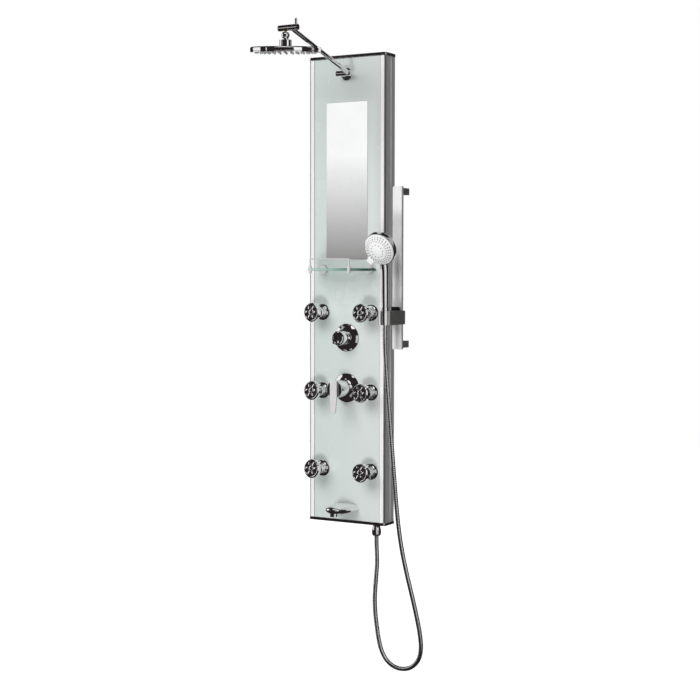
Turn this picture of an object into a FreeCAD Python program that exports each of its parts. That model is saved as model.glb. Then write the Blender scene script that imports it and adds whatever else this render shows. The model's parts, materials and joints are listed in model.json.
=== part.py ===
import FreeCAD, Part
import math
import os

import Sketcher
from FreeCAD import Placement, Rotation, Vector

# Shower panel column for a wall, in millimetres. X runs to the right, Y into the wall and Z up.
# The wall is the plane Y = 0, and Z = 0 is half way up the panel, midway between its wall screws.

doc = FreeCAD.newDocument("ShowerPanelColumn")

SIZES = {
    # clearances
    "run_gap": 0.05,
    "seat_gap": 0.3,
    "fit_gap": 0.1,
    # panel case
    "panel_width": 280,
    "panel_height": 1500,
    "panel_depth": 62,
    "cap_thickness": 10,
    "cap_overhang": 2,
    "cap_corner": 8,
    "rail_width": 18,
    "rail_corner": 5,
    "rail_wall": 2.5,
    "groove_depth": 4,
    "groove_width": 16,
    "groove_floor": 8,
    "groove_setback": 30,
    "glass_recess": 1,
    "glass_thickness": 6,
    "mirror_width": 152,
    "mirror_height": 502,
    "mirror_thickness": 1.5,
    "mirror_rise": 350.5,
    "back_recess": 12,
    "back_thickness": 2,
    # wall hooks
    "screw_spread": 140,
    "screw_rise": 1000,
    "screw_hole": 3,
    "hook_width": 190,
    "hook_height": 50,
    "hook_thickness": 3,
    "hook_drop": 10,
    "tongue_width": 60,
    "tongue_thickness": 3,
    "lip_height": 15,
    # pipework inside the case
    "pipe_setback": 34,
    "pipe_radius": 6,
    "feed_radius": 9,
    "thin_pipe": 5,
    "thin_pipe_setback": 47,
    "elbow_swell": 1.8,
    "valve_back": 16,
    "inlet_spread": 120,
    "inlet_radius": 13,
    "inlet_bore": 10.5,
    "inlet_length": 36,
    "inlet_setback": 8,
    "inlet_depth": 14,
    "inlet_arm": 40,
    "manifold_margin": 10,
    "side_pipe_spread": 220,
    "hose_turn_height": 50,
    # mixer
    "mixer_rise": -312.5,
    "mixer_valve_radius": 22,
    "mixer_neck": 17.5,
    "cartridge_radius": 15,
    "cartridge_depth": 30,
    "stem_radius": 5,
    "stem_depth": 20,
    "mixer_plate_radius": 47,
    "plate_edge": 2,
    "dome_flatness": 1.6,
    "mixer_plate_height": 9.5,
    "handle_radius": 28,
    "handle_start": 73,
    "handle_end": 141,
    "handle_round": 2,
    "lever_width": 25,
    "lever_tip": 8,
    "lever_top": 28.5,
    "lever_drop": 77.5,
    "lever_thickness": 4,
    "lever_gap": 2,
    "lever_taper_start": 25,
    "hinge_rise": 25,
    "hinge_setback": 3,
    "hinge_radius": 3,
    "hinge_width": 12,
    "hinge_pin": 1.5,
    "hinge_pin_length": 3,
    "hinge_slot_depth": 7,
    # diverter
    "diverter_rise": -151,
    "diverter_valve_radius": 18,
    "diverter_neck": 12,
    "diverter_plate_radius": 45,
    "diverter_plate_height": 12,
    "knob_radius": 23,
    "knob_start": 76,
    "knob_end": 118.5,
    "knob_round": 2,
    "lug_reach": 27,
    "lug_width": 7,
    "lug_depth": 6,
    "lug_angle": -140,
    "spindle_radius": 4,
    "spindle_grip": 20,
    "spindle_depth": 24,
    "port_reach": 26,
    # body jets
    "jet_spread": 180,
    "jet_top": -70,
    "jet_step": 254,
    "jet_tail": 8,
    "jet_flange": 26,
    "jet_flange_edge": 2,
    "jet_neck": 18,
    "jet_neck_length": 20.7,
    "jet_ball": 11,
    "jet_ball_out": 25,
    "ring_radius": 17,
    "ring_round": 1.5,
    "ring_length": 12,
    "sleeve_radius": 13.5,
    "sleeve_length": 6,
    "ring_mouth": 9.2,
    "ring_mouth_out": 6.4,
    "ring_mouth_room": 2.4,
    "ring_flare": 11,
    "head_neck": 6,
    "head_neck_length": 17,
    "head_root": 17,
    "head_radius": 30.5,
    "head_cone_length": 11,
    "head_rim_length": 11,
    "head_bevel": 3,
    "head_recess": 2,
    "jet_yaw": 8,
    "jet_pitch_1": 0,
    "jet_pitch_2": 0,
    "jet_pitch_3": 4,
    "jet_pitch_4": 1,
    "jet_pitch_5": 6,
    "jet_pitch_6": 2.5,
    # spout
    "spout_rise": -701.5,
    "spout_width": 88,
    "spout_height": 37,
    "spout_length": 103.5,
    "spout_tip_rise": 4,
    "spout_tail": 10,
    "outlet_radius": 13.5,
    "outlet_bore": 9.5,
    "outlet_out": 79,
    "outlet_drop": 13,
    "outlet_length": 5,
    # overhead arm
    "arm_rise": 688.7,
    "arm_stem": 8,
    "arm_flange": 20,
    "arm_flange_thickness": 4,
    "arm_out": 25,
    "barrel_radius": 9,
    "barrel_left": 23.5,
    "barrel_right": 11,
    "knuckle_width": 14.5,
    "pin_radius": 5,
    "arm_radius": 7,
    "arm_reach": 338.6,
    "arm_climb": 94.7,
    "screw_radius": 2.5,
    "screw_head": 6.5,
    "screw_head_height": 3.5,
    "screw_length": 11,
    "knob_hub_length": 17.5,
    "knob_grip": 3.5,
    "knob_lever_out": 10.5,
    "knob_lever_radius": 4,
    "knob_lever_height": 23,
    # overhead rain shower
    "swivel_drop": 21.5,
    "swivel_ball_radius": 8,
    "swivel_stud": 4,
    "stud_height": 22,
    "stud_bore_height": 24,
    "socket_wall": 4.3,
    "socket_top": 9.6,
    "socket_mouth": 7,
    "socket_lip": 5.2,
    "socket_neck": 9,
    "nut_radius": 18.5,
    "nut_top": 12.9,
    "nut_height": 20.7,
    "rain_radius": 106,
    "rain_thickness": 16.8,
    "rain_round": 5,
    "rain_wall": 2,
    "rain_top_wall": 2,
    "rain_face_thickness": 2.5,
    "rain_nozzle_radius": 2.2,
    "rain_nozzle_tip": 1.5,
    "rain_nozzle_length": 4,
    "rain_nozzle_rings": 5,
    "rain_nozzle_step": 18,
    "rain_tilt": 6.5,
    # shelf
    "shelf_rise": 67.4,
    "shelf_thickness": 8,
    "shelf_width": 214,
    "shelf_depth": 118,
    "shelf_round": 75,
    "shelf_gap": 2,
    "bracket_spread": 170,
    "bracket_radius": 15,
    "bracket_length": 12,
    "post_spread": 142,
    "post_out": 109,
    "post_radius": 2.5,
    "bulb_radius": 5.5,
    "bulb_height": 26,
    "rail_rise": 33,
    "gallery_radius": 2.25,
    # slide bar
    "bar_offset": 182,
    "bar_width": 34,
    "bar_thickness": 13,
    "bar_round": 3,
    "bar_back": 48,
    "bar_top": 328.4,
    "bar_bottom": -184,
    "standoff_width": 22,
    "standoff_height": 21.5,
    "standoff_top": 313.5,
    "standoff_bottom": -169,
    "standoff_hole_depth": 30,
    # slider
    "slider_rise": -83.3,
    "slider_height": 43.4,
    "slider_width": 44,
    "slider_front": 147,
    "slider_back": 43,
    "slider_round": 4,
    "cradle_out": 139,
    "cradle_width": 29.4,
    "cradle_depth": 28,
    "cradle_round": 3,
    "cradle_room": 27,
    "cradle_pin": 3,
    "cradle_pin_length": 5,
    "cradle_slot": 16,
    "tab_width": 30,
    "tab_thickness": 6.5,
    "tab_round": 1.6,
    "tab_rise": 12,
    "tab_sink": 16,
    "tab_travel": 3,
    "tab_setback": 6,
    # hand shower
    "cone_top": 12.5,
    "cone_bottom": 8.5,
    "cone_length": 54.9,
    "grip_bottom": 10.3,
    "grip_top": 12.6,
    "grip_length": 131,
    "grip_lean": 3,
    "neck_drop": 20,
    "neck_lean": 10,
    "neck_shift": 2,
    "spray_radius": 53,
    "spray_thickness": 30,
    "spray_edge": 15,
    "spray_back": 33,
    "spray_round": 20,
    "spray_face": 50.5,
    "spray_dome": 16,
    "spray_face_depth": 4,
    "spray_face_proud": 1,
    "spray_height": 178.7,
    "spray_out": 38.5,
    "spray_yaw": -3.9,
    "spray_dip": 25.8,
    "selector_reach": 66,
    "selector_width": 22,
    "selector_length": 20,
    "selector_thickness": 4,
    "selector_angle": -138,
    # hose
    "outlet_offset": 94,
    "outlet_setback": 31,
    "outlet_pipe": 10,
    "outlet_collar": 12,
    "outlet_collar_height": 20,
    "outlet_thread": 9,
    "outlet_thread_length": 12,
    "hose_nut_radius": 15,
    "hose_nut_top": 10.5,
    "hose_nut_foot": 12,
    "hose_nut_cone": 19,
    "hose_nut_waist": 32.3,
    "hose_nut_length": 38,
    "hose_radius": 7,
}


class Size:
    """A length or angle of the sheet, or one worked out from several, with its formula."""

    def __init__(self, number, formula):
        self.number = float(number)
        self.formula = formula

    def __float__(self):
        return self.number

    def __add__(self, other):
        other = as_size(other)
        return Size(self.number + other.number, f"({self.formula} + {other.formula})")

    def __sub__(self, other):
        other = as_size(other)
        return Size(self.number - other.number, f"({self.formula} - {other.formula})")

    def __mul__(self, other):
        other = as_size(other)
        return Size(self.number * other.number, f"({self.formula} * {other.formula})")

    def __truediv__(self, other):
        other = as_size(other)
        return Size(self.number / other.number, f"({self.formula} / {other.formula})")

    def __neg__(self):
        return self * -1

    def __abs__(self):
        return self if self.number >= 0 else -self

    __radd__ = __add__
    __rmul__ = __mul__

    def __rsub__(self, other):
        return as_size(other) - self


def as_size(value):
    """A plain number as a size, so that it can stand in a formula."""
    return value if isinstance(value, Size) else Size(value, f"({float(value)!r})")


def root(value):
    """The square root of a size."""
    return Size(math.sqrt(value.number), f"sqrt({value.formula})")


class SizeSheet:
    """The spreadsheet of driving sizes, read by name."""

    def __init__(self, table):
        self.sheet = doc.addObject("Spreadsheet::Sheet", "Sizes")
        for row, (name, value) in enumerate(table.items(), start=1):
            self.sheet.set(f"A{row}", name)
            self.sheet.set(f"B{row}", str(value))
            self.sheet.setAlias(f"B{row}", name)
            setattr(self, name, Size(value, f"Sizes.{name}"))


s = SizeSheet(SIZES)
doc.recompute()

UP = Rotation()
DOWN = Rotation(Vector(1, 0, 0), 180)
RIGHT = Rotation(Vector(0, 1, 0), 90)
FORWARD = Rotation(Vector(1, 0, 0), 90)

sub_parts = {}


# ---------------------------------------------------------------- building blocks

def bind(item, name, value):
    """Tie one property of an object to the sheet."""
    item.setExpression(name, as_size(value).formula)


def place(item, at=(0, 0, 0), turn=UP):
    """Put an object at a point whose coordinates are tied to the sheet."""
    item.Placement = Placement(Vector(*[float(value) for value in at]), turn)
    for axis, value in zip("xyz", at):
        if isinstance(value, Size):
            bind(item, f"Placement.Base.{axis}", value)
    return item


def rod(name, radius, length, at=(0, 0, 0), turn=UP):
    """A cylinder from the point at, along the turned Z axis."""
    item = doc.addObject("Part::Cylinder", name)
    bind(item, "Radius", radius)
    bind(item, "Height", length)
    return place(item, at, turn)


def ball(name, radius, at=(0, 0, 0)):
    item = doc.addObject("Part::Sphere", name)
    bind(item, "Radius", radius)
    return place(item, at)


def box(name, low, high):
    """A box between its lowest and its highest corner."""
    item = doc.addObject("Part::Box", name)
    for side, first, last in zip(("Length", "Width", "Height"), low, high):
        bind(item, side, as_size(last) - first)
    return place(item, low)


def cone(name, bottom, top, length, at=(0, 0, 0), turn=UP):
    item = doc.addObject("Part::Cone", name)
    bind(item, "Radius1", bottom)
    bind(item, "Radius2", top)
    bind(item, "Height", length)
    return place(item, at, turn)


def strut(name, radius, start, end):
    """A round bar between two points."""
    steps = [as_size(last) - first for first, last in zip(start, end)]
    length = root(steps[0] * steps[0] + steps[1] * steps[1] + steps[2] * steps[2])
    heading = Rotation(Vector(0, 0, 1), Vector(*[float(step) for step in steps]))
    return rod(name, radius, length, start, heading)


def fuse(name, *solids):
    item = doc.addObject("Part::MultiFuse", name)
    item.Shapes = list(solids)
    return item


def cut(name, base, *tools):
    item = doc.addObject("Part::Cut", name)
    item.Base = base
    item.Tool = tools[0] if len(tools) == 1 else fuse(name + "_cutters", *tools)
    return item


def group(name, *solids):
    """Separate solids that share one node."""
    item = doc.addObject("Part::Compound", name)
    item.Links = list(solids)
    return item


def pipe(name, radius, points, swell):
    """Round pipe along straight runs, with a thicker elbow at each corner."""
    runs = [
        strut(f"{name}_run", radius, start, end)
        for start, end in zip(points, points[1:])
    ]
    elbows = [ball(f"{name}_elbow", radius + swell, point) for point in points[1:-1]]
    return fuse(name, *runs, *elbows) if elbows else runs[0]


def arc_between(start, end, radius):
    """The centre and the two angles of the short arc from start to end, left-hand if radius > 0."""
    chord = end - start
    half = chord.Length / 2
    offset = math.sqrt(max(radius * radius - half * half, 0))
    side = Vector(-chord.y, chord.x, 0).normalize() * math.copysign(offset, radius)
    centre = start + chord / 2 + side
    angles = [math.atan2(point.y - centre.y, point.x - centre.x) for point in (start, end)]
    return centre, angles


def outline(sketch, corners):
    """Draw a closed outline. A corner's third number is the radius of the arc that leads to it."""
    edges = []
    for index, corner in enumerate(corners):
        start = Vector(float(corners[index - 1][0]), float(corners[index - 1][1]), 0)
        end = Vector(float(corner[0]), float(corner[1]), 0)
        if len(corner) == 2:
            edges.append((sketch.addGeometry(Part.LineSegment(start, end), False), 1, 2))
            continue
        radius = float(corner[2])
        centre, (first, last) = arc_between(start, end, radius)
        circle = Part.Circle(centre, Vector(0, 0, 1), abs(radius))
        if radius > 0:
            arc = Part.ArcOfCircle(circle, first, last)
            edges.append((sketch.addGeometry(arc, False), 1, 2))
        else:
            arc = Part.ArcOfCircle(circle, last, first)
            edges.append((sketch.addGeometry(arc, False), 2, 1))
    for index, corner in enumerate(corners):
        edge, _, end = edges[index]
        following, start, _ = edges[(index + 1) % len(edges)]
        sketch.addConstraint(Sketcher.Constraint("Coincident", edge, end, following, start))
        for kind, value in zip(("DistanceX", "DistanceY"), corner[:2]):
            constrain(sketch, kind, (edge, end), value)
        if len(corner) == 3:
            constrain(sketch, "Radius", (edge,), abs(corner[2]))


def constrain(sketch, kind, where, value):
    """Add one sketch dimension and tie it to the sheet."""
    number = sketch.addConstraint(Sketcher.Constraint(kind, *where, float(value)))
    if isinstance(value, Size):
        sketch.setExpression(f"Constraints[{number}]", value.formula)


def sketched_body(name, plane, outlines):
    """A body with one sketch on an origin plane, holding the closed outlines."""
    body = doc.addObject("PartDesign::Body", name)
    sketch = body.newObject("Sketcher::SketchObject", f"{name}_sketch")
    support = [face for face in body.Origin.OriginFeatures if face.Role == plane][0]
    sketch.AttachmentSupport = [(support, "")]
    sketch.MapMode = "FlatFace"
    for corners in outlines:
        outline(sketch, corners)
    return body, sketch


def extruded(name, plane, outlines, length, at=(0, 0, 0)):
    """A padded outline: up from XY_Plane, or towards the front from XZ_Plane."""
    body, sketch = sketched_body(name, plane, outlines)
    pad = body.newObject("PartDesign::Pad", f"{name}_pad")
    pad.Profile = sketch
    bind(pad, "Length", length)
    return place(body, at)


def turned(name, profile, at=(0, 0, 0), turn=UP):
    """A turned piece. The profile holds radius and height along the turned Z axis."""
    body, sketch = sketched_body(name, "XZ_Plane", [profile])
    spin = body.newObject("PartDesign::Revolution", f"{name}_turning")
    spin.Profile = (sketch, [""])
    spin.ReferenceAxis = (sketch, ["V_Axis"])
    spin.Angle = 360
    return place(body, at, turn)


def rectangle(left, low, right, high):
    return [(right, low), (right, high), (left, high), (left, low)]


def rounded_rectangle(left, low, right, high, radius):
    return [
        (right - radius, low),
        (right, low + radius, radius),
        (right, high - radius),
        (right - radius, high, radius),
        (left + radius, high),
        (left, high - radius, radius),
        (left, low + radius),
        (left + radius, low, radius),
    ]


def sub_part(name, item):
    """Name a finished sub-part. The label names its file."""
    item.Label = name
    sub_parts[name] = item
    return item


# ---------------------------------------------------------------- shared places

half_width = s.panel_width / 2
half_height = s.panel_height / 2
rail_inner = half_width - s.rail_width
rail_top = half_height - s.cap_thickness
panel_front = -s.panel_depth
glass_front = panel_front + s.glass_recess
glass_back = glass_front + s.glass_thickness
back_rear = -s.back_recess
back_front = back_rear - s.back_thickness
jet_places = [
    (s.jet_spread / 2 * side, s.jet_top - s.jet_step * row)
    for row in range(3)
    for side in (-1, 1)
]


# ---------------------------------------------------------------- panel case

def side_rail(name, side):
    """A hollow side rail with a rounded front corner and a groove in its outer face."""
    groove_front = -s.groove_setback - s.groove_width / 2
    groove_rear = -s.groove_setback + s.groove_width / 2
    floor_front = -s.groove_setback - s.groove_floor / 2
    floor_rear = -s.groove_setback + s.groove_floor / 2
    floor = half_width - s.groove_depth
    section = [
        (half_width - s.rail_corner, panel_front),
        (half_width, panel_front + s.rail_corner, s.rail_corner),
        (half_width, groove_front),
        (floor, floor_front),
        (floor, floor_rear),
        (half_width, groove_rear),
        (half_width, 0),
        (rail_inner, 0),
        (rail_inner, panel_front),
    ]
    chamber = rectangle(
        rail_inner + s.rail_wall,
        panel_front + s.rail_wall,
        floor - s.rail_wall,
        -s.rail_wall,
    )
    outlines = [
        [(corner[0] * side, corner[1], *[radius * side for radius in corner[2:]])
         for corner in corners]
        for corners in (section, chamber)
    ]
    return sub_part(name, extruded(name, "XY_Plane", outlines, rail_top * 2, (0, 0, -rail_top)))


def cap_blank(name, bottom):
    """An end cap that stands a little proud of the rails, with rounded front corners."""
    edge = half_width + s.cap_overhang
    front = panel_front - s.cap_overhang
    corners = [
        (edge - s.cap_corner, front),
        (edge, front + s.cap_corner, s.cap_corner),
        (edge, 0),
        (-edge, 0),
        (-edge, front + s.cap_corner),
        (-edge + s.cap_corner, front, s.cap_corner),
    ]
    return extruded(name, "XY_Plane", [corners], s.cap_thickness, (0, 0, bottom))


def caps():
    sub_part("top_cap", cap_blank("top_cap", rail_top))
    blank = cap_blank("bottom_cap_blank", -half_height)
    hole = rod("outlet_hole", s.outlet_pipe + s.fit_gap, s.cap_thickness,
               (s.outlet_offset, -s.outlet_setback, -half_height))
    sub_part("bottom_cap", cut("bottom_cap", blank, hole))


def glass_hole(name, radius, across, rise):
    return rod(name, radius + s.fit_gap, s.glass_thickness, (across, glass_back, rise), FORWARD)


def front_glass():
    """The glass front, drilled for each fitting that passes through it."""
    sheet = box("glass_sheet", (-rail_inner, glass_front, -rail_top), (rail_inner, glass_back, rail_top))
    holes = [
        glass_hole("mixer_hole", s.mixer_neck, 0, s.mixer_rise),
        glass_hole("diverter_hole", s.diverter_neck, 0, s.diverter_rise),
        glass_hole("arm_hole", s.arm_stem, 0, s.arm_rise),
        glass_hole("spout_hole", s.spout_tail, 0, s.spout_rise),
    ]
    for across, rise in jet_places:
        holes.append(glass_hole("jet_hole", s.jet_tail, across, rise))
    sub_part("front_glass", cut("front_glass", sheet, *holes))
    half = s.mirror_width / 2
    low = (-half, glass_front - s.mirror_thickness, s.mirror_rise - s.mirror_height / 2)
    high = (half, glass_front, s.mirror_rise + s.mirror_height / 2)
    sub_part("mirror", box("mirror", low, high))


def hook_rises():
    """The heights of the two wall hooks."""
    return [s.screw_rise / 2, -s.screw_rise / 2]


def back_plate():
    """The sheet that closes the back, with hook slots and inlet holes."""
    plate = box("back_sheet", (-rail_inner, back_front, -rail_top), (rail_inner, back_rear, rail_top))
    cutters = []
    half = s.tongue_width / 2 + s.seat_gap
    for rise in hook_rises():
        top = rise + s.hook_drop + s.tongue_thickness
        cutters.append(box("hook_slot", (-half, back_front, top - s.lip_height - s.tongue_thickness),
                           (half, back_rear, top)))
    for side in (-1, 1):
        cutters.append(rod("inlet_hole", s.inlet_radius + s.seat_gap, s.back_thickness,
                           (s.inlet_spread / 2 * side, back_rear, s.mixer_rise), FORWARD))
    sub_part("back_plate", cut("back_plate", plate, *cutters))


def wall_hooks():
    """Two screwed brackets whose tongues carry the back plate."""
    hooks = []
    half = s.tongue_width / 2
    lip_rear = back_front - s.seat_gap
    lip_front = lip_rear - s.hook_thickness
    for rise in hook_rises():
        floor = rise + s.hook_drop
        plate = box("hook_plate", (-s.hook_width / 2, -s.hook_thickness, rise - s.hook_height / 2),
                    (s.hook_width / 2, 0, rise + s.hook_height / 2))
        tongue = box("hook_tongue", (-half, lip_front, floor), (half, 0, floor + s.tongue_thickness))
        lip = box("hook_lip", (-half, lip_front, floor), (half, lip_rear, floor + s.lip_height))
        holes = [
            rod("screw_hole", s.screw_hole, s.hook_thickness, (s.screw_spread / 2 * side, 0, rise), FORWARD)
            for side in (-1, 1)
        ]
        hooks.append(cut("wall_hook", fuse("hook_blank", plate, tongue, lip), *holes))
    sub_part("wall_hooks", group("wall_hooks", *hooks))


# ---------------------------------------------------------------- pipework

def valve_body(name, radius, neck, rise, neck_end):
    """A round valve body between the back plate and the glass, with a neck through the glass."""
    body = rod(f"{name}_body", radius, -glass_back - s.valve_back, (0, -s.valve_back, rise), FORWARD)
    collar = rod(f"{name}_neck", neck, glass_back + neck_end, (0, glass_back, rise), FORWARD)
    return body, collar


def mixer_valve():
    """The thermostatic or blending valve body, with its inlet arms and its outlet."""
    neck_end = -glass_front + s.mixer_plate_height
    body, collar = valve_body("mixer_valve", s.mixer_valve_radius, s.mixer_neck, s.mixer_rise, neck_end)
    arm = rod("inlet_arms", s.feed_radius, s.inlet_arm * 2,
              (-s.inlet_arm, -s.pipe_setback, s.mixer_rise), RIGHT)
    port_end = s.diverter_rise - s.port_reach
    outlet = rod("mixer_outlet", s.feed_radius, port_end - s.mixer_rise,
                 (0, -s.pipe_setback, s.mixer_rise))
    bore = rod("cartridge_bore", s.cartridge_radius + s.run_gap, s.cartridge_depth,
               (0, -neck_end + s.cartridge_depth, s.mixer_rise), FORWARD)
    sub_part("mixer_valve", cut("mixer_valve", fuse("mixer_casting", body, collar, arm, outlet), bore))
    cartridge = rod("cartridge_barrel", s.cartridge_radius, s.cartridge_depth,
                    (0, -neck_end + s.cartridge_depth, s.mixer_rise), FORWARD)
    stem_hole = rod("stem_hole", s.stem_radius + s.run_gap, s.stem_depth,
                    (0, -neck_end + s.stem_depth, s.mixer_rise), FORWARD)
    sub_part("mixer_cartridge", cut("mixer_cartridge", cartridge, stem_hole))


def diverter_valve():
    """The diverter body, with ports to the riser, the jets, the spout and the hose."""
    neck_end = -glass_front + s.diverter_plate_height
    body, collar = valve_body("diverter_valve", s.diverter_valve_radius, s.diverter_neck,
                              s.diverter_rise, neck_end)
    jets = rod("jet_ports", s.pipe_radius, s.port_reach * 2,
               (-s.port_reach, -s.pipe_setback, s.diverter_rise), RIGHT)
    lower = rod("lower_ports", s.thin_pipe, s.port_reach * 2,
                (-s.port_reach, -s.thin_pipe_setback, lower_port_rise()), RIGHT)
    upper = rod("riser_port", s.pipe_radius, s.port_reach, (0, -s.pipe_setback, s.diverter_rise))
    feed = rod("feed_port", s.feed_radius, s.port_reach, (0, -s.pipe_setback, s.diverter_rise), DOWN)
    casting = fuse("diverter_casting", body, collar, jets, lower, upper, feed)
    bore = rod("spindle_bore", s.spindle_radius + s.run_gap, s.spindle_depth,
               (0, -neck_end + s.spindle_depth, s.diverter_rise), FORWARD)
    sub_part("diverter_valve", cut("diverter_valve", casting, bore))


def lower_port_rise():
    """The lower ports pass under the jets' cross pipe."""
    return s.diverter_rise - s.pipe_radius - s.thin_pipe - s.elbow_swell


def supply_tails():
    """Hot and cold inlets, each with a bore for its connector behind the back plate."""
    tails = []
    for side in (-1, 1):
        across = s.inlet_spread / 2 * side
        body = rod("inlet_body", s.inlet_radius, s.inlet_length,
                   (across, -s.inlet_setback, s.mixer_rise), FORWARD)
        arm = strut("inlet_stub", s.feed_radius, (s.inlet_arm * side, -s.pipe_setback, s.mixer_rise),
                    (across, -s.pipe_setback, s.mixer_rise))
        bore = rod("inlet_bore", s.inlet_bore, s.inlet_depth,
                   (across, -s.inlet_setback, s.mixer_rise), FORWARD)
        tails.append(cut("supply_tail", fuse("supply_blank", body, arm), bore))
    sub_part("supply_tails", group("supply_tails", *tails))


def riser_pipe():
    start = s.diverter_rise + s.port_reach
    points = [(0, -s.pipe_setback, start), (0, -s.pipe_setback, s.arm_rise), (0, glass_back, s.arm_rise)]
    sub_part("riser_pipe", pipe("riser_pipe", s.pipe_radius, points, s.elbow_swell))


def jet_manifold():
    """A cross pipe from the diverter on each side, to an upright with a stub at each jet."""
    halves = []
    top = s.jet_top + s.manifold_margin
    bottom = s.jet_top - s.jet_step * 2 - s.manifold_margin
    for side in (-1, 1):
        across = s.jet_spread / 2 * side
        pieces = [
            strut("cross_pipe", s.pipe_radius, (s.port_reach * side, -s.pipe_setback, s.diverter_rise),
                  (across, -s.pipe_setback, s.diverter_rise)),
            strut("upright", s.pipe_radius, (across, -s.pipe_setback, bottom),
                  (across, -s.pipe_setback, top)),
            ball("tee", s.pipe_radius + s.elbow_swell, (across, -s.pipe_setback, s.diverter_rise)),
        ]
        for place_across, rise in jet_places:
            if float(place_across) * side > 0:
                pieces.append(strut("jet_stub", s.jet_tail, (across, -s.pipe_setback, rise),
                                    (across, glass_back, rise)))
        halves.append(fuse("manifold_half", *pieces))
    sub_part("jet_manifold", group("jet_manifold", *halves))


def lower_pipes():
    """The thin pipes round the sides, to the spout on the left and the hose outlet on the right."""
    across = s.side_pipe_spread / 2
    depth = -s.thin_pipe_setback
    start = lower_port_rise()
    spout_points = [
        (-s.port_reach, depth, start),
        (-across, depth, start),
        (-across, depth, s.spout_rise),
        (0, depth, s.spout_rise),
        (0, glass_back, s.spout_rise),
    ]
    collar_top = outlet_collar_top()
    turn_rise = collar_top + s.hose_turn_height
    hose_points = [
        (s.port_reach, depth, start),
        (across, depth, start),
        (across, depth, turn_rise),
        (s.outlet_offset, -s.outlet_setback, turn_rise),
        (s.outlet_offset, -s.outlet_setback, collar_top),
    ]
    pipes = [
        pipe("spout_pipe", s.thin_pipe, spout_points, s.elbow_swell),
        pipe("hose_pipe", s.thin_pipe, hose_points, s.elbow_swell),
    ]
    sub_part("lower_pipes", group("lower_pipes", *pipes))


def outlet_collar_top():
    """The top of the collar that sits on the inside of the bottom cap."""
    return -rail_top + s.outlet_collar_height


def hose_outlet():
    """The collar, the neck through the bottom cap and the thread that the hose nut grips."""
    collar = rod("outlet_collar_ring", s.outlet_collar, s.outlet_collar_height,
                 (s.outlet_offset, -s.outlet_setback, outlet_collar_top()), DOWN)
    neck = rod("outlet_neck", s.outlet_pipe, s.cap_thickness,
               (s.outlet_offset, -s.outlet_setback, -rail_top), DOWN)
    thread = rod("outlet_thread_rod", s.outlet_thread, s.outlet_thread_length,
                 (s.outlet_offset, -s.outlet_setback, -half_height), DOWN)
    sub_part("hose_outlet", fuse("hose_outlet", collar, neck, thread))


# ---------------------------------------------------------------- mixer and diverter controls

def domed_plate(name, radius, height, hole, rise):
    """A round cover plate on the glass that swells towards its hole."""
    inner = hole + s.fit_gap
    shoulder = inner + height / 2
    dome = (radius - shoulder) * s.dome_flatness
    profile = [
        (radius, 0),
        (radius, s.plate_edge),
        (shoulder, height, dome),
        (inner, height),
        (inner, 0),
    ]
    sub_part(name, turned(name, profile, (0, glass_front, rise), FORWARD))


def mixer_handle():
    """The cylinder handle with its stem, slotted for the hinge of the lever."""
    length = s.handle_end - s.handle_start
    stem_start = -glass_front + s.mixer_plate_height - s.stem_depth + s.seat_gap
    profile = [
        (s.stem_radius, stem_start - s.handle_start),
        (s.stem_radius, 0),
        (s.handle_radius, 0),
        (s.handle_radius, length - s.handle_round),
        (s.handle_radius - s.handle_round, length, s.handle_round),
        (0, length),
        (0, stem_start - s.handle_start),
    ]
    body = turned("handle_cylinder", profile, (0, -s.handle_start, s.mixer_rise), FORWARD)
    hinge_out = s.handle_end - s.hinge_setback
    hinge_up = s.mixer_rise + s.hinge_rise
    room = s.hinge_radius + s.seat_gap * 2
    half = s.hinge_width / 2
    slot = box("hinge_slot", (-half - s.seat_gap, -s.handle_end, hinge_up - room),
               (half + s.seat_gap, -s.handle_end + s.hinge_slot_depth, s.mixer_rise + s.handle_radius))
    pin_half = half + s.hinge_pin_length + s.seat_gap
    bore = rod("hinge_bore", s.hinge_pin + s.run_gap, pin_half * 2, (-pin_half, -hinge_out, hinge_up), RIGHT)
    sub_part("mixer_handle", cut("mixer_handle", body, slot, bore))

    knuckle = rod("lever_knuckle", s.hinge_radius, s.hinge_width, (-half, -hinge_out, hinge_up), RIGHT)
    pin = rod("lever_pin", s.hinge_pin, (half + s.hinge_pin_length) * 2,
              (-half - s.hinge_pin_length, -hinge_out, hinge_up), RIGHT)
    lever_back = -s.handle_end - s.lever_gap
    web = box("lever_web", (-half, lever_back - s.lever_thickness / 2, hinge_up - s.hinge_radius / 2),
              (half, -hinge_out, hinge_up + s.hinge_radius / 2))
    wide = s.lever_width / 2
    tip = s.lever_tip
    corners = [
        (-wide, -s.lever_taper_start),
        (-tip, -s.lever_drop + tip),
        (0, -s.lever_drop, tip),
        (tip, -s.lever_drop + tip, tip),
        (wide, -s.lever_taper_start),
        (wide, s.lever_top - s.handle_round),
        (wide - s.handle_round, s.lever_top, s.handle_round),
        (-wide + s.handle_round, s.lever_top),
        (-wide, s.lever_top - s.handle_round, s.handle_round),
    ]
    blade = extruded("lever_blade", "XZ_Plane", [corners], s.lever_thickness, (0, lever_back, s.mixer_rise))
    sub_part("mixer_lever", fuse("mixer_lever", knuckle, pin, web, blade))


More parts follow.
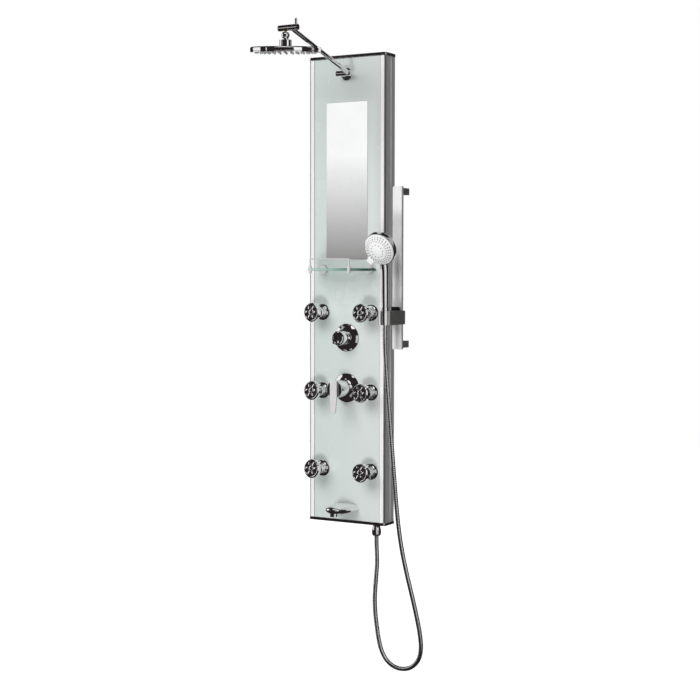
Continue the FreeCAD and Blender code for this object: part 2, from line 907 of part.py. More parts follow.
def diverter_knob():
    """The knob with its pointer lug, and the spindle that it turns."""
    length = s.knob_end - s.knob_start
    bore = s.spindle_radius + s.fit_gap
    profile = [
        (bore, 0),
        (s.knob_radius, 0),
        (s.knob_radius, length - s.knob_round),
        (s.knob_radius - s.knob_round, length, s.knob_round),
        (0, length),
        (0, s.spindle_grip),
        (bore, s.spindle_grip),
    ]
    body = turned("knob_cylinder", profile, (0, -s.knob_start, s.diverter_rise), FORWARD)
    half = s.lug_width / 2
    corners = rectangle(s.knob_radius - s.knob_round, -half, s.lug_reach, half)
    lug = extruded("knob_lug", "XY_Plane", [corners], s.lug_depth)
    pointing = FORWARD.multiply(Rotation(Vector(0, 0, 1), float(s.lug_angle)))
    place(lug, (0, -s.knob_end + s.lug_depth + s.knob_round, s.diverter_rise), pointing)
    sub_part("diverter_knob", fuse("diverter_knob", body, lug))
    rear = -glass_front + s.diverter_plate_height - s.spindle_depth + s.seat_gap
    spindle = rod("diverter_spindle", s.spindle_radius, s.knob_start + s.spindle_grip - rear - s.seat_gap,
                  (0, -rear, s.diverter_rise), FORWARD)
    sub_part("diverter_spindle", spindle)


# ---------------------------------------------------------------- body jets

jet_out = -glass_front + s.jet_neck_length
ring_start = jet_out + s.seat_gap
ball_out = s.jet_ball_out - glass_front


def jet_base(across, rise):
    """The flange and neck of one jet, with the socket that its ring turns in."""
    socket = s.sleeve_radius + s.run_gap
    sleeve_floor = s.jet_neck_length - s.sleeve_length
    ball_floor = s.jet_ball_out - s.jet_ball - s.seat_gap
    room = s.jet_ball + s.seat_gap
    profile = [
        (s.jet_tail, -s.glass_thickness),
        (s.jet_tail, 0),
        (s.jet_flange, 0),
        (s.jet_flange, s.jet_flange_edge),
        (s.jet_neck, s.jet_flange_edge + (s.jet_flange - s.jet_neck) / 2, -s.jet_flange / 2),
        (s.jet_neck, s.jet_neck_length),
        (socket, s.jet_neck_length),
        (socket, sleeve_floor),
        (room, sleeve_floor),
        (room, ball_floor),
        (0, ball_floor),
        (0, -s.glass_thickness),
    ]
    return turned("jet_base", profile, (across, glass_front, rise), FORWARD)


def jet_ring(number, across, rise):
    """The ring that turns on the base and holds the ball of the head."""
    sleeve_end = -s.sleeve_length + s.seat_gap
    mouth = ball_out + s.ring_mouth_out - ring_start
    shoulder = ball_out - ring_start
    room = s.jet_ball + s.seat_gap
    profile = [
        (s.sleeve_radius, sleeve_end),
        (s.sleeve_radius, 0),
        (s.ring_radius, 0),
        (s.ring_radius, s.ring_length - s.ring_round),
        (s.ring_radius - s.ring_round, s.ring_length, s.ring_round),
        (s.ring_flare, s.ring_length),
        (s.ring_mouth, mouth),
        (room, shoulder + s.ring_mouth_room),
        (room, sleeve_end),
    ]
    name = f"jet_ring_{number}"
    sub_part(name, turned(name, profile, (across, -ring_start, rise), FORWARD))


def jet_aim(number):
    """How one head is turned on its ball at rest: to the left, and up by its own angle."""
    yaw = float(s.jet_yaw)
    pitch = float(getattr(s, f"jet_pitch_{number}"))
    return Rotation(Vector(-pitch, 0, -yaw), math.hypot(pitch, yaw))


def jet_head(number, across, rise):
    """The swivelling head: ball, neck, cone, rim and recessed face."""
    join = root(s.jet_ball * s.jet_ball - s.head_neck * s.head_neck)
    cone_start = s.head_neck_length
    rim_start = cone_start + s.head_cone_length
    rim_end = rim_start + s.head_rim_length
    face = s.head_radius - s.head_bevel
    profile = [
        (s.head_neck, join, s.jet_ball),
        (s.head_neck, cone_start - s.head_recess),
        (s.head_root, cone_start),
        (s.head_radius, rim_start),
        (s.head_radius, rim_end),
        (face, rim_end + s.head_recess),
        (face, rim_end),
        (0, rim_end),
        (0, -s.jet_ball),
        (s.jet_ball, 0, s.jet_ball),
    ]
    name = f"jet_head_{number}"
    turn = jet_aim(number).multiply(FORWARD)
    sub_part(name, turned(name, profile, (across, -ball_out, rise), turn))


def jets():
    bases = [jet_base(across, rise) for across, rise in jet_places]
    sub_part("jet_bases", group("jet_bases", *bases))
    for number, (across, rise) in enumerate(jet_places, start=1):
        jet_ring(number, across, rise)
        jet_head(number, across, rise)


# ---------------------------------------------------------------- spout

def spout_section(out, width, height, rise):
    """One oval across the spout, as shares of its width and height at the glass."""
    oval = doc.addObject("Part::Ellipse", "spout_oval")
    bind(oval, "MajorRadius", s.spout_width / 2 * width)
    bind(oval, "MinorRadius", s.spout_height / 2 * height)
    at = (0, glass_front - s.spout_length * out, s.spout_rise + s.spout_tip_rise * rise)
    return place(oval, at, FORWARD)


def spout():
    """The flattened spout, its tail through the glass and the boss of its outlet."""
    loft = doc.addObject("Part::Loft", "spout_shell")
    loft.Sections = [
        spout_section(0, 1, 1, 0),
        spout_section(0.2, 0.97, 0.97, 0.1),
        spout_section(0.5, 0.82, 0.84, 0.35),
        spout_section(0.8, 0.6, 0.64, 0.7),
        spout_section(0.95, 0.45, 0.46, 0.9),
        spout_section(1, 0.3, 0.26, 1),
    ]
    loft.Solid = True
    tail = rod("spout_tail_rod", s.spout_tail, s.glass_thickness, (0, glass_back, s.spout_rise), FORWARD)
    outlet_at = (0, glass_front - s.outlet_out, s.spout_rise - s.outlet_drop)
    boss = rod("outlet_boss", s.outlet_radius - s.seat_gap, s.outlet_drop, outlet_at)
    sub_part("spout", fuse("spout", loft, tail, boss))
    ring = rod("outlet_ring", s.outlet_radius, s.outlet_length, outlet_at, DOWN)
    bore = rod("outlet_mouth", s.outlet_bore, s.outlet_length / 2,
               (outlet_at[0], outlet_at[1], outlet_at[2] - s.outlet_length / 2), DOWN)
    sub_part("spout_outlet", cut("spout_outlet", ring, bore))


# ---------------------------------------------------------------- overhead arm

hinge_y = panel_front - s.arm_out + s.glass_recess
tip_y = hinge_y - s.arm_reach
tip_rise = s.arm_rise + s.arm_climb
knuckle_left = s.barrel_right + s.seat_gap
knuckle_right = knuckle_left + s.knuckle_width
pin_end = knuckle_right + s.fit_gap


def barrel(name, y, rise, pin_length):
    """A cross barrel with the hinge pin that carries the arm."""
    body = rod(f"{name}_barrel", s.barrel_radius, s.barrel_left + s.barrel_right,
               (-s.barrel_left, y, rise), RIGHT)
    pin = rod(f"{name}_pin", s.pin_radius, pin_length, (s.barrel_right, y, rise), RIGHT)
    return body, pin


def arm_base():
    """The flange, stem and lower barrel of the arm, and the screw that keeps the arm on its pin."""
    flange = rod("arm_flange_disc", s.arm_flange, s.arm_flange_thickness,
                 (0, glass_front, s.arm_rise), FORWARD)
    stem = strut("arm_stem_rod", s.arm_stem, (0, glass_back, s.arm_rise), (0, hinge_y, s.arm_rise))
    body, pin = barrel("lower", hinge_y, s.arm_rise, pin_end - s.barrel_right)
    thread = rod("screw_thread_hole", s.screw_radius + s.fit_gap, s.screw_length,
                 (pin_end - s.screw_length, hinge_y, s.arm_rise), RIGHT)
    sub_part("arm_base", cut("arm_base", fuse("arm_base_blank", flange, stem, body, pin), thread))
    shank = rod("screw_shank", s.screw_radius, s.screw_length - s.seat_gap,
                (pin_end - s.screw_length + s.seat_gap, hinge_y, s.arm_rise), RIGHT)
    head = rod("screw_cap", s.screw_head, s.screw_head_height,
               (pin_end + s.seat_gap / 2, hinge_y, s.arm_rise), RIGHT)
    bridge = rod("screw_neck", s.screw_radius, s.seat_gap, (pin_end, hinge_y, s.arm_rise), RIGHT)
    sub_part("arm_screw", fuse("arm_screw", shank, bridge, head))


def arm_tube():
    """The tube between the two knuckles."""
    middle = knuckle_left + s.knuckle_width / 2
    ends = [(hinge_y, s.arm_rise), (tip_y, tip_rise)]
    tube = strut("arm_bar", s.arm_radius, (middle, *ends[0]), (middle, *ends[1]))
    knuckles = [
        rod("arm_knuckle", s.barrel_radius, s.knuckle_width, (knuckle_left, *end), RIGHT)
        for end in ends
    ]
    bores = [
        rod("knuckle_bore", s.pin_radius + s.run_gap, s.knuckle_width, (knuckle_left, *end), RIGHT)
        for end in ends
    ]
    sub_part("arm_tube", cut("arm_tube", fuse("arm_blank", tube, *knuckles), *bores))


def tip_barrel():
    """The upper barrel, with the bore of the swivel stud, and the knob that clamps it."""
    body, pin = barrel("upper", tip_y, tip_rise, pin_end + s.knob_grip - s.barrel_right)
    bore = rod("stud_bore", s.swivel_stud + s.run_gap, s.stud_bore_height,
               (0, tip_y, tip_rise - s.swivel_drop))
    sub_part("tip_barrel", cut("tip_barrel", fuse("tip_blank", body, pin), bore))
    hub = rod("knob_hub", s.barrel_radius, s.knob_hub_length, (pin_end, tip_y, tip_rise), RIGHT)
    across = pin_end + s.knob_lever_out
    lever_top = tip_rise + s.knob_lever_height
    lever = strut("knob_lever", s.knob_lever_radius, (across, tip_y, tip_rise), (across, tip_y, lever_top))
    tip = ball("knob_lever_tip", s.knob_lever_radius, (across, tip_y, lever_top))
    socket = rod("knob_socket", s.pin_radius + s.run_gap, s.knob_grip + s.seat_gap,
                 (pin_end, tip_y, tip_rise), RIGHT)
    sub_part("tip_knob", cut("tip_knob", fuse("knob_blank", hub, lever, tip), socket))


# ---------------------------------------------------------------- overhead rain shower

swivel_centre = (0, tip_y, tip_rise - s.swivel_drop)
rain_turn = Rotation(Vector(0.865, 0.502, 0), float(s.rain_tilt))
shell_top = -s.nut_top - s.nut_height
shell_bottom = shell_top - s.rain_thickness


def swivel():
    """The ball on its stud, and the socket with the nut that hangs the shower from it."""
    knob = ball("swivel_sphere", s.swivel_ball_radius, swivel_centre)
    stud = rod("swivel_stud_rod", s.swivel_stud, s.stud_height, swivel_centre)
    sub_part("swivel_ball", fuse("swivel_ball", knob, stud))
    inner = s.swivel_ball_radius + s.seat_gap
    outer = s.swivel_ball_radius + s.socket_wall
    profile = [
        (root(inner * inner - s.socket_lip * s.socket_lip), s.socket_lip, inner),
        (s.socket_mouth, s.socket_top),
        (root(outer * outer - s.socket_top * s.socket_top), s.socket_top),
        (outer, 0, -outer),
        (s.socket_neck, -root(outer * outer - s.socket_neck * s.socket_neck), -outer),
        (s.socket_neck, -s.nut_top),
        (s.nut_radius, -s.nut_top),
        (s.nut_radius, shell_top),
        (0, shell_top),
        (0, -inner),
        (inner, 0, inner),
    ]
    sub_part("swivel_socket", turned("swivel_socket", profile, swivel_centre, rain_turn))


def rain_head():
    """The round overhead shower: a shallow cup, its face and its nozzles."""
    inside = s.rain_radius - s.rain_wall
    ceiling = shell_top - s.rain_top_wall
    shell = [
        (s.rain_radius, shell_bottom),
        (s.rain_radius, shell_top - s.rain_round),
        (s.rain_radius - s.rain_round, shell_top, s.rain_round),
        (0, shell_top),
        (0, ceiling),
        (inside, ceiling),
        (inside, shell_bottom),
    ]
    sub_part("rain_shell", turned("rain_shell", shell, swivel_centre, rain_turn))
    face = [
        (0, shell_bottom),
        (inside, shell_bottom),
        (inside, shell_bottom + s.rain_face_thickness),
        (0, shell_bottom + s.rain_face_thickness),
    ]
    sub_part("rain_face", turned("rain_face", face, swivel_centre, rain_turn))
    nozzles = []
    for ring in range(1, int(float(s.rain_nozzle_rings)) + 1):
        count = 6 * ring
        for step in range(count):
            angle = 2 * math.pi * step / count
            reach = s.rain_nozzle_step * ring
            at = (reach * math.cos(angle), reach * math.sin(angle), shell_bottom)
            nozzles.append(cone("rain_nozzle", s.rain_nozzle_radius, s.rain_nozzle_tip,
                                s.rain_nozzle_length, at, DOWN))
    sub_part("rain_nozzles", place(group("rain_nozzles", *nozzles), swivel_centre, rain_turn))


# ---------------------------------------------------------------- shelf

def shelf():
    """The glass shelf in its two round brackets, with the gallery rail along its front."""
    half = s.shelf_width / 2
    rear = panel_front - s.shelf_gap + s.glass_recess
    front = panel_front - s.shelf_depth
    corner = front + s.shelf_round
    bottom = s.shelf_rise - s.shelf_thickness / 2
    top = s.shelf_rise + s.shelf_thickness / 2
    corners = [
        (half - s.shelf_round, front),
        (half, corner, s.shelf_round),
        (half, rear),
        (-half, rear),
        (-half, corner),
        (-half + s.shelf_round, front, s.shelf_round),
    ]
    glass = extruded("shelf_glass", "XY_Plane", [corners], s.shelf_thickness, (0, 0, bottom))
    sub_part("shelf_glass", glass)
    brackets = []
    for side in (-1, 1):
        at = (s.bracket_spread / 2 * side, glass_front, s.shelf_rise)
        disc = rod("bracket_disc", s.bracket_radius, s.bracket_length, at, FORWARD)
        slot = box("bracket_slot", (at[0] - s.bracket_radius, glass_front - s.bracket_length, bottom),
                   (at[0] + s.bracket_radius, rear, top))
        brackets.append(cut("shelf_bracket", disc, slot))
    sub_part("shelf_brackets", group("shelf_brackets", *brackets))
    gallery(glass)


def gallery(glass):
    """Two posts that grip the edge of the shelf, with a rail between their tops."""
    y = panel_front - s.post_out
    rail_height = s.shelf_rise + s.rail_rise
    half = s.post_spread / 2
    pieces = [strut("gallery_bar", s.gallery_radius, (-half, y, rail_height), (half, y, rail_height))]
    for side in (-1, 1):
        at = (half * side, y, s.shelf_rise)
        straight = s.bulb_height / 2 - s.bulb_radius
        pieces += [
            rod("bulb", s.bulb_radius, straight * 2, (at[0], y, s.shelf_rise - straight)),
            ball("bulb_bottom", s.bulb_radius, (at[0], y, s.shelf_rise - straight)),
            ball("bulb_top", s.bulb_radius, (at[0], y, s.shelf_rise + straight)),
            rod("post", s.post_radius, s.rail_rise, at),
            ball("post_corner", s.post_radius + s.fit_gap, (at[0], y, rail_height)),
        ]
    sub_part("gallery_rail", cut("gallery_rail", fuse("gallery_blank", *pieces), glass))


# ---------------------------------------------------------------- slide bar and slider

bar_left = s.bar_offset - s.bar_width / 2
bar_right = s.bar_offset + s.bar_width / 2
bar_front = -s.bar_back - s.bar_thickness


def slide_bar():
    """The flat bar beside the panel, on two square stand-offs that are screwed to the wall."""
    section = rounded_rectangle(bar_left, bar_front, bar_right, -s.bar_back, s.bar_round)
    bar = extruded("slide_bar", "XY_Plane", [section], s.bar_top - s.bar_bottom, (0, 0, s.bar_bottom))
    sub_part("slide_bar", bar)
    standoffs = []
    half = s.standoff_width / 2
    for rise in (s.standoff_top, s.standoff_bottom):
        block = box("standoff_block", (s.bar_offset - half, -s.bar_back, rise - s.standoff_height / 2),
                    (s.bar_offset + half, 0, rise + s.standoff_height / 2))
        hole = rod("standoff_hole", s.screw_hole, s.standoff_hole_depth, (s.bar_offset, 0, rise), FORWARD)
        standoffs.append(cut("standoff", block, hole))
    sub_part("bar_standoffs", group("bar_standoffs", *standoffs))


slider_bottom = s.slider_rise - s.slider_height / 2
slider_top = s.slider_rise + s.slider_height / 2
tab_rear = bar_front - s.tab_setback


def slider():
    """The block that slides on the bar, with a cheek on each side of the cradle."""
    gap = s.seat_gap
    left = s.bar_offset - s.slider_width / 2
    right = s.bar_offset + s.slider_width / 2
    section = rounded_rectangle(left, -s.slider_front, right, -s.slider_back, s.slider_round)
    tunnel = rectangle(bar_left - gap, bar_front - gap, bar_right + gap, -s.bar_back + gap)
    block = extruded("slider_blank", "XY_Plane", [section, tunnel], s.slider_height, (0, 0, slider_bottom))
    half = s.cradle_width / 2 + gap
    room = box("cradle_room_box", (s.bar_offset - half, -s.slider_front, slider_bottom),
               (s.bar_offset + half, -s.cradle_out + s.cradle_room, slider_top))
    pin_half = s.cradle_width / 2 + s.cradle_pin_length + gap
    pin_hole = rod("cradle_pin_hole", s.cradle_pin + s.run_gap, pin_half * 2,
                   (s.bar_offset - pin_half, -s.cradle_out, s.slider_rise), RIGHT)
    tab_half = s.tab_width / 2 + gap
    pocket = box("tab_pocket",
                 (s.bar_offset - tab_half, tab_rear - s.tab_thickness - gap,
                  slider_top - s.tab_sink - s.tab_travel - gap),
                 (s.bar_offset + tab_half, tab_rear + gap, slider_top))
    sub_part("slider_block", cut("slider_block", block, room, pin_hole, pocket))
    tab_section = rounded_rectangle(
        s.bar_offset - s.tab_width / 2,
        tab_rear - s.tab_thickness,
        s.bar_offset + s.tab_width / 2,
        tab_rear,
        s.tab_round,
    )
    tab = extruded("release_tab", "XY_Plane", [tab_section], s.tab_rise + s.tab_sink,
                   (0, 0, slider_top - s.tab_sink))
    sub_part("release_tab", tab)


def cone_radius(height, gap):
    """The radius of the hand shower's cone at a height above the bottom of the cone."""
    return s.cone_bottom + (s.cone_top - s.cone_bottom) * height / s.cone_length + gap


def cradle_insert():
    """The tilting cradle: a conical seat with a slot for the hose, on two pins."""
    half = s.cradle_width / 2
    section = rounded_rectangle(
        s.bar_offset - half,
        -s.cradle_out - s.cradle_depth / 2,
        s.bar_offset + half,
        -s.cradle_out + s.cradle_depth / 2,
        s.cradle_round,
    )
    block = extruded("cradle_block", "XY_Plane", [section], s.slider_height, (0, 0, slider_bottom))
    pin = rod("cradle_pins", s.cradle_pin, (half + s.cradle_pin_length) * 2,
              (s.bar_offset - half - s.cradle_pin_length, -s.cradle_out, s.slider_rise), RIGHT)
    seat = cone("cradle_seat", cone_radius(as_size(0), s.seat_gap), cone_radius(s.slider_height, s.seat_gap),
                s.slider_height, (s.bar_offset, -s.cradle_out, slider_bottom))
    slot = box("cradle_slot_box",
               (s.bar_offset - s.cradle_slot / 2, -s.cradle_out - s.cradle_depth / 2, slider_bottom),
               (s.bar_offset + s.cradle_slot / 2, -s.cradle_out, slider_top))
    sub_part("cradle_insert", cut("cradle_insert", fuse("cradle_blank", block, pin), seat, slot))


# ---------------------------------------------------------------- hand shower

grip_rise = slider_bottom + s.cone_length
grip_top_rise = grip_rise + s.grip_length
spray_normal = Rotation(Vector(0, 0, 1), float(s.spray_yaw)).multiply(
    Rotation(Vector(1, 0, 0), 90 + float(s.spray_dip)))
spray_centre = (s.bar_offset, -s.cradle_out - s.spray_out, grip_rise + s.spray_height)


def grip_section(radius, across, out, rise):
    circle = doc.addObject("Part::Circle", "grip_circle")
    bind(circle, "Radius", radius)
    return place(circle, (s.bar_offset + across, -s.cradle_out - out, rise))


def handset():
    """The hand shower: cone nut, handle, round head and the face that turns to change the spray."""
    nut = cone("handset_nut", s.cone_bottom, s.cone_top, s.cone_length,
               (s.bar_offset, -s.cradle_out, slider_bottom))
    sub_part("handset_nut", nut)
    middle = (s.grip_bottom + s.grip_top) / 2
    handle = doc.addObject("Part::Loft", "grip")
    handle.Sections = [
        grip_section(s.grip_bottom, as_size(0), as_size(0), grip_rise),
        grip_section(middle, as_size(0), s.grip_lean / 2, grip_rise + s.grip_length / 2),
        grip_section(s.grip_top, as_size(0), s.grip_lean, grip_top_rise),
        grip_section(s.grip_top, -s.neck_shift, s.neck_lean, grip_rise + s.spray_height - s.neck_drop),
    ]
    handle.Solid = True
    rim = s.spray_face + s.seat_gap
    profile = [
        (0, -s.spray_thickness),
        (s.spray_back, -s.spray_thickness),
        (s.spray_radius, -s.spray_edge, s.spray_round),
        (s.spray_radius, -s.spray_face_proud),
        (rim, -s.spray_face_proud),
        (rim, -s.spray_face_depth),
        (0, -s.spray_face_depth),
    ]
    shell = turned("spray_shell", profile, spray_centre, spray_normal)
    axle = s.spindle_radius
    bore = rod("face_bore", axle + s.run_gap, s.spray_face_depth * 2, spray_centre, spray_normal)
    bore.Placement = Placement(bore.Placement.Base, spray_normal.multiply(DOWN))
    sunk = spray_normal.multVec(Vector(0, 0, -float(s.spray_face_depth)))
    floor = [start + move for start, move in zip(spray_centre, (sunk.x, sunk.y, sunk.z))]
    pocket = rod("face_pocket", rim, s.spray_face_depth + s.spray_dome, floor, spray_normal)
    sub_part("handset_body", cut("handset_body", fuse("handset_blank", handle, shell), pocket, bore))

    dome_radius = (s.spray_face * s.spray_face + s.spray_dome * s.spray_dome) / (s.spray_dome * 2)
    face = [
        (0, -s.spray_face_depth * 2 + s.seat_gap),
        (axle, -s.spray_face_depth * 2 + s.seat_gap),
        (axle, -s.spray_face_depth + s.seat_gap),
        (s.spray_face, -s.spray_face_depth + s.seat_gap),
        (s.spray_face, 0),
        (0, s.spray_dome, dome_radius),
    ]
    disc = turned("face_disc", face, spray_centre, spray_normal)
    half = s.selector_width / 2
    corners = rectangle(s.selector_reach - s.selector_length, -half, s.selector_reach, half)
    selector = extruded("selector_tab", "XY_Plane", [corners], s.selector_thickness)
    raised = Rotation(Vector(0, 0, 1), float(s.selector_angle))
    lift = spray_normal.multVec(Vector(0, 0, float(s.seat_gap - s.spray_face_proud)))
    at = [start + move for start, move in zip(spray_centre, (lift.x, lift.y, lift.z))]
    place(selector, at, spray_normal.multiply(raised))
    sub_part("handset_face", fuse("handset_face", disc, selector))


# ---------------------------------------------------------------- hose

def hose_nut():
    """The round nut at the outlet, narrow at its top, with the bore of the outlet thread."""
    bore = s.outlet_thread + s.fit_gap
    depth = s.outlet_thread_length + s.fit_gap
    profile = [
        (bore, 0),
        (bore, -depth),
        (0, -depth),
        (0, -s.hose_nut_length),
        (s.hose_nut_foot, -s.hose_nut_length),
        (s.hose_nut_radius, -s.hose_nut_waist),
        (s.hose_nut_radius, -s.hose_nut_cone),
        (s.hose_nut_top, 0),
    ]
    sub_part("hose_nut", turned("hose_nut", profile, (s.outlet_offset, -s.outlet_setback, -half_height)))


def hose_route():
    """The points of the hose from its nut down, round the bottom bend and up to the hand shower."""
    start = Vector(float(s.outlet_offset), -float(s.outlet_setback), -float(half_height + s.hose_nut_length))
    end = Vector(float(s.bar_offset), -float(s.cradle_out), float(slider_bottom))
    between = [
        (94, -31, -822),
        (99.5, -35, -868),
        (98, -40.5, -925),
        (95, -44.5, -982),
        (99, -48, -1034),
        (107, -51, -1078),
        (115, -54, -1117),
        (127.5, -56.5, -1156),
        (152.5, -58.5, -1189),
        (191.5, -60.5, -1204),
        (233.5, -62.5, -1197),
        (265, -65, -1169),
        (277, -67.5, -1130),
        (274, -70.5, -1080),
        (263, -74, -1023),
        (249, -77.5, -961),
        (232, -81.5, -893),
        (216, -86, -817),
        (204.5, -91, -731),
        (197, -99, -610),
        (191, -109, -480),
        (186.5, -119, -360),
        (183, -129, -260),
        (182.2, -136.5, -190),
        (182, -139, -145),
    ]
    return [start, *[Vector(*point) for point in between], end]


def shower_hose():
    """A tube of straight runs joined by tangent arcs, each as large as its two runs allow."""
    points = hose_route()
    radius = float(s.hose_radius)
    edges = []
    radii = []
    here = points[0]
    for before, corner, after in zip(points, points[1:], points[2:]):
        into = (corner - before).normalize()
        out = (after - corner).normalize()
        turn = into.getAngle(out)
        reach = 0.45 * min((corner - before).Length, (after - corner).Length)
        radii.append(reach / math.tan(turn / 2))
        arc_start = corner - into * reach
        arc_end = corner + out * reach
        inward = (out - into).normalize()
        to_centre = radii[-1] / math.cos(turn / 2)
        middle = corner + inward * (to_centre - radii[-1])
        edges.append(Part.LineSegment(here, arc_start).toShape())
        edges.append(Part.Arc(arc_start, middle, arc_end).toShape())
        here = arc_end
    edges.append(Part.LineSegment(here, points[-1]).toShape())
    path = Part.Wire(edges)
    ring = Part.Wire(Part.Circle(points[0], points[1] - points[0], radius).toShape())
    tube = path.makePipeShell([ring], True, False)
    length = sum(edge.Length for edge in edges)
    expected = math.pi * radius ** 2 * length
    print("hose length %.1f mm, volume / (section x length) %.5f" % (length, tube.Volume / expected))
    print("hose arc radii:", ", ".join("%.0f" % value for value in radii))
    item = doc.addObject("Part::Feature", "shower_hose")
    item.Shape = tube
    item.Placement = Placement()
    sub_part("shower_hose", item)


# ---------------------------------------------------------------- assembly

def build():
    side_rail("side_rail_left", -1)
    side_rail("side_rail_right", 1)
    caps()
    front_glass()
    back_plate()
    wall_hooks()
    mixer_valve()
    diverter_valve()
    supply_tails()
    riser_pipe()
    jet_manifold()
    lower_pipes()
    hose_outlet()
    domed_plate("mixer_plate", s.mixer_plate_radius, s.mixer_plate_height, s.mixer_neck, s.mixer_rise)
    domed_plate("diverter_plate", s.diverter_plate_radius, s.diverter_plate_height, s.diverter_neck,
                s.diverter_rise)
    mixer_handle()
    diverter_knob()
    jets()
    spout()
    arm_base()
    arm_tube()
    tip_barrel()
    swivel()
    rain_head()
    shelf()
    slide_bar()
    slider()
    cradle_insert()
    handset()
    hose_nut()
    shower_hose()


def check():
    """Stop if any object failed, or if a sub-part has no valid solid."""
    doc.recompute()
    for item in doc.Objects:
        if "Invalid" in item.State or "Error" in item.State:
            raise RuntimeError(f"{item.Label} failed: {item.State}")
    for name, item in sub_parts.items():
        shape = item.Shape
        if shape.isNull() or not shape.isValid() or not shape.Solids:
            raise RuntimeError(f"{name} has no valid solid")


def export():
    os.makedirs("parts", exist_ok=True)
    for name, item in sub_parts.items():
        item.Shape.exportStep(f"parts/{name}.step")
    print(len(sub_parts), "sub-parts")


build()
check()
export()
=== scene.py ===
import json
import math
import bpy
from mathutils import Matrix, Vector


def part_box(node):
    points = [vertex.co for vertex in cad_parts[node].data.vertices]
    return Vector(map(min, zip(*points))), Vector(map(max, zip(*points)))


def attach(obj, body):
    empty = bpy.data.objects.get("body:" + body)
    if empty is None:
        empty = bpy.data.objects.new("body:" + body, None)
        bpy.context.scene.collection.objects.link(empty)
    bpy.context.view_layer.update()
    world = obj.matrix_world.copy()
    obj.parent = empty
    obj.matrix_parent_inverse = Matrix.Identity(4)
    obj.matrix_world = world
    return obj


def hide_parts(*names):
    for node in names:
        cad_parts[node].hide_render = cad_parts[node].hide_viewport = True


bl_info = {
    "name": "Shower panel column",
    "version": (1, 0, 0),
    "blender": (4, 5, 0),
    "location": "View3D > Sidebar > Shower panel",
    "description": "Dresses a wall shower panel in chrome, painted glass, aluminium and rubber",
    "category": "Object",
}

import bmesh
import bpy
from bpy.props import FloatProperty, FloatVectorProperty, IntProperty, PointerProperty
from bpy.types import Operator, Panel, PropertyGroup
from mathutils import Matrix, Vector

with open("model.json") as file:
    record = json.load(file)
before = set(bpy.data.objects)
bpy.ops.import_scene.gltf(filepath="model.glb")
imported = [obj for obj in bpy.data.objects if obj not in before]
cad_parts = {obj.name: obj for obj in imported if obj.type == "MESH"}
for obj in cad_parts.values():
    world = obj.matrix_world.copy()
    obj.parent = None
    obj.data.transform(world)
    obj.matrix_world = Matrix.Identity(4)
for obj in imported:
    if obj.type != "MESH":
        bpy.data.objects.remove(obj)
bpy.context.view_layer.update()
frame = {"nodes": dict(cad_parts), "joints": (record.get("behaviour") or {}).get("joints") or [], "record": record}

MM = 0.001
MERGE_DISTANCE = 1e-6
SHARP_ANGLE = math.radians(38)
FORWARD = Matrix.Rotation(math.radians(90), 4, "X")
DOWNWARD = Matrix.Rotation(math.radians(180), 4, "X")

body_of = {
    node: body
    for body, members in frame["record"]["behaviour"]["bodies"].items()
    for node in members
}
slot_of = {name: node.data.materials[0].name for name, node in frame["nodes"].items()}
finishes = {}


# ---- settings

def colour_setting(name, description, default):
    return FloatVectorProperty(name=name, description=description, default=default, subtype="COLOR", min=0, max=1)


def length_setting(name, description, default):
    return FloatProperty(name=name, description=description, default=default, unit="LENGTH")


def power_setting(name, description, default):
    return FloatProperty(name=name, description=description, default=default, unit="POWER")


def angle_setting(name, description, degrees):
    return FloatProperty(name=name, description=description, default=math.radians(degrees), subtype="ANGLE")


class StageSettings(PropertyGroup):
    camera_place: FloatVectorProperty(
        name="Camera place", description="Where the photograph was taken from",
        default=(2.4091, -4.1893, 0.0571), subtype="TRANSLATION", unit="LENGTH")
    camera_heading: angle_setting("Heading", "How far the camera looks to the left of straight ahead", 30.145)
    camera_dip: angle_setting("Dip", "How far the camera looks down", 2.97)
    camera_roll: angle_setting("Roll", "How far the camera leans", 0.079)
    camera_lens: FloatProperty(
        name="Lens", description="Focal length on a 36 mm sensor", default=76.52, unit="CAMERA")
    fill_level: FloatProperty(name="Fill", description="Level of the soft light from all round", default=0.16)
    key_power: power_setting("Key", "Power of the large lamp in front, above", 136)
    low_power: power_setting("Low", "Power of the small lamp in front, below", 25)
    rear_power: power_setting("Rear", "Power of the lamp behind, at the left", 90)
    floor_drop: length_setting("Floor", "Height of the studio floor", -1.32)


class FinishSettings(PropertyGroup):
    chrome_colour: colour_setting("Chrome", "Colour that chrome reflects", (0.86, 0.85, 0.86))
    aluminium_colour: colour_setting("Aluminium", "Colour of the satin side rails", (0.93, 0.93, 0.93))
    # the pale green paint of the glass, with painted shade at its left edge and painted light at its right edge
    glass_shaded_left: colour_setting("Glass left", "Paint behind the glass, at its left edge", (0.60, 0.67, 0.643))
    glass_lit_right: colour_setting("Glass right", "Paint behind the glass, at its right edge", (0.665, 0.705, 0.687))
    shelf_tint: colour_setting("Shelf", "Tint of the clear shelf", (0.86, 0.97, 0.94))
    # the green of the shelf edge, with painted light at its left end and painted shade at its right end
    shelf_edge_lit_left: colour_setting(
        "Shelf edge left", "Pale green of the ground edge at its left end", (0.72, 0.94, 0.87))
    shelf_edge_shaded_right: colour_setting(
        "Shelf edge right", "Deep green of the ground edge at its right end", (0.05, 0.16, 0.12))
    face_colour: colour_setting("Spray face", "Pale plastic of the hand shower's face", (0.90, 0.90, 0.905))
    slider_colour: colour_setting("Slider", "Dark plastic of the slider and stand-offs", (0.27, 0.27, 0.262))


class JetSettings(PropertyGroup):
    yaw: angle_setting("Aim left", "How far each head is turned to the left at rest", 8)
    pitches: FloatVectorProperty(
        name="Aim up", description="How far each head is turned up at rest, in degrees",
        default=(0, 0, 4, 1, 6, 2.5), size=6)
    ball_out: length_setting("Ball", "Depth of the ball's centre in front of the wall", 0.086)
    petals: IntProperty(name="Petals", description="Raised petals on each face", default=6)


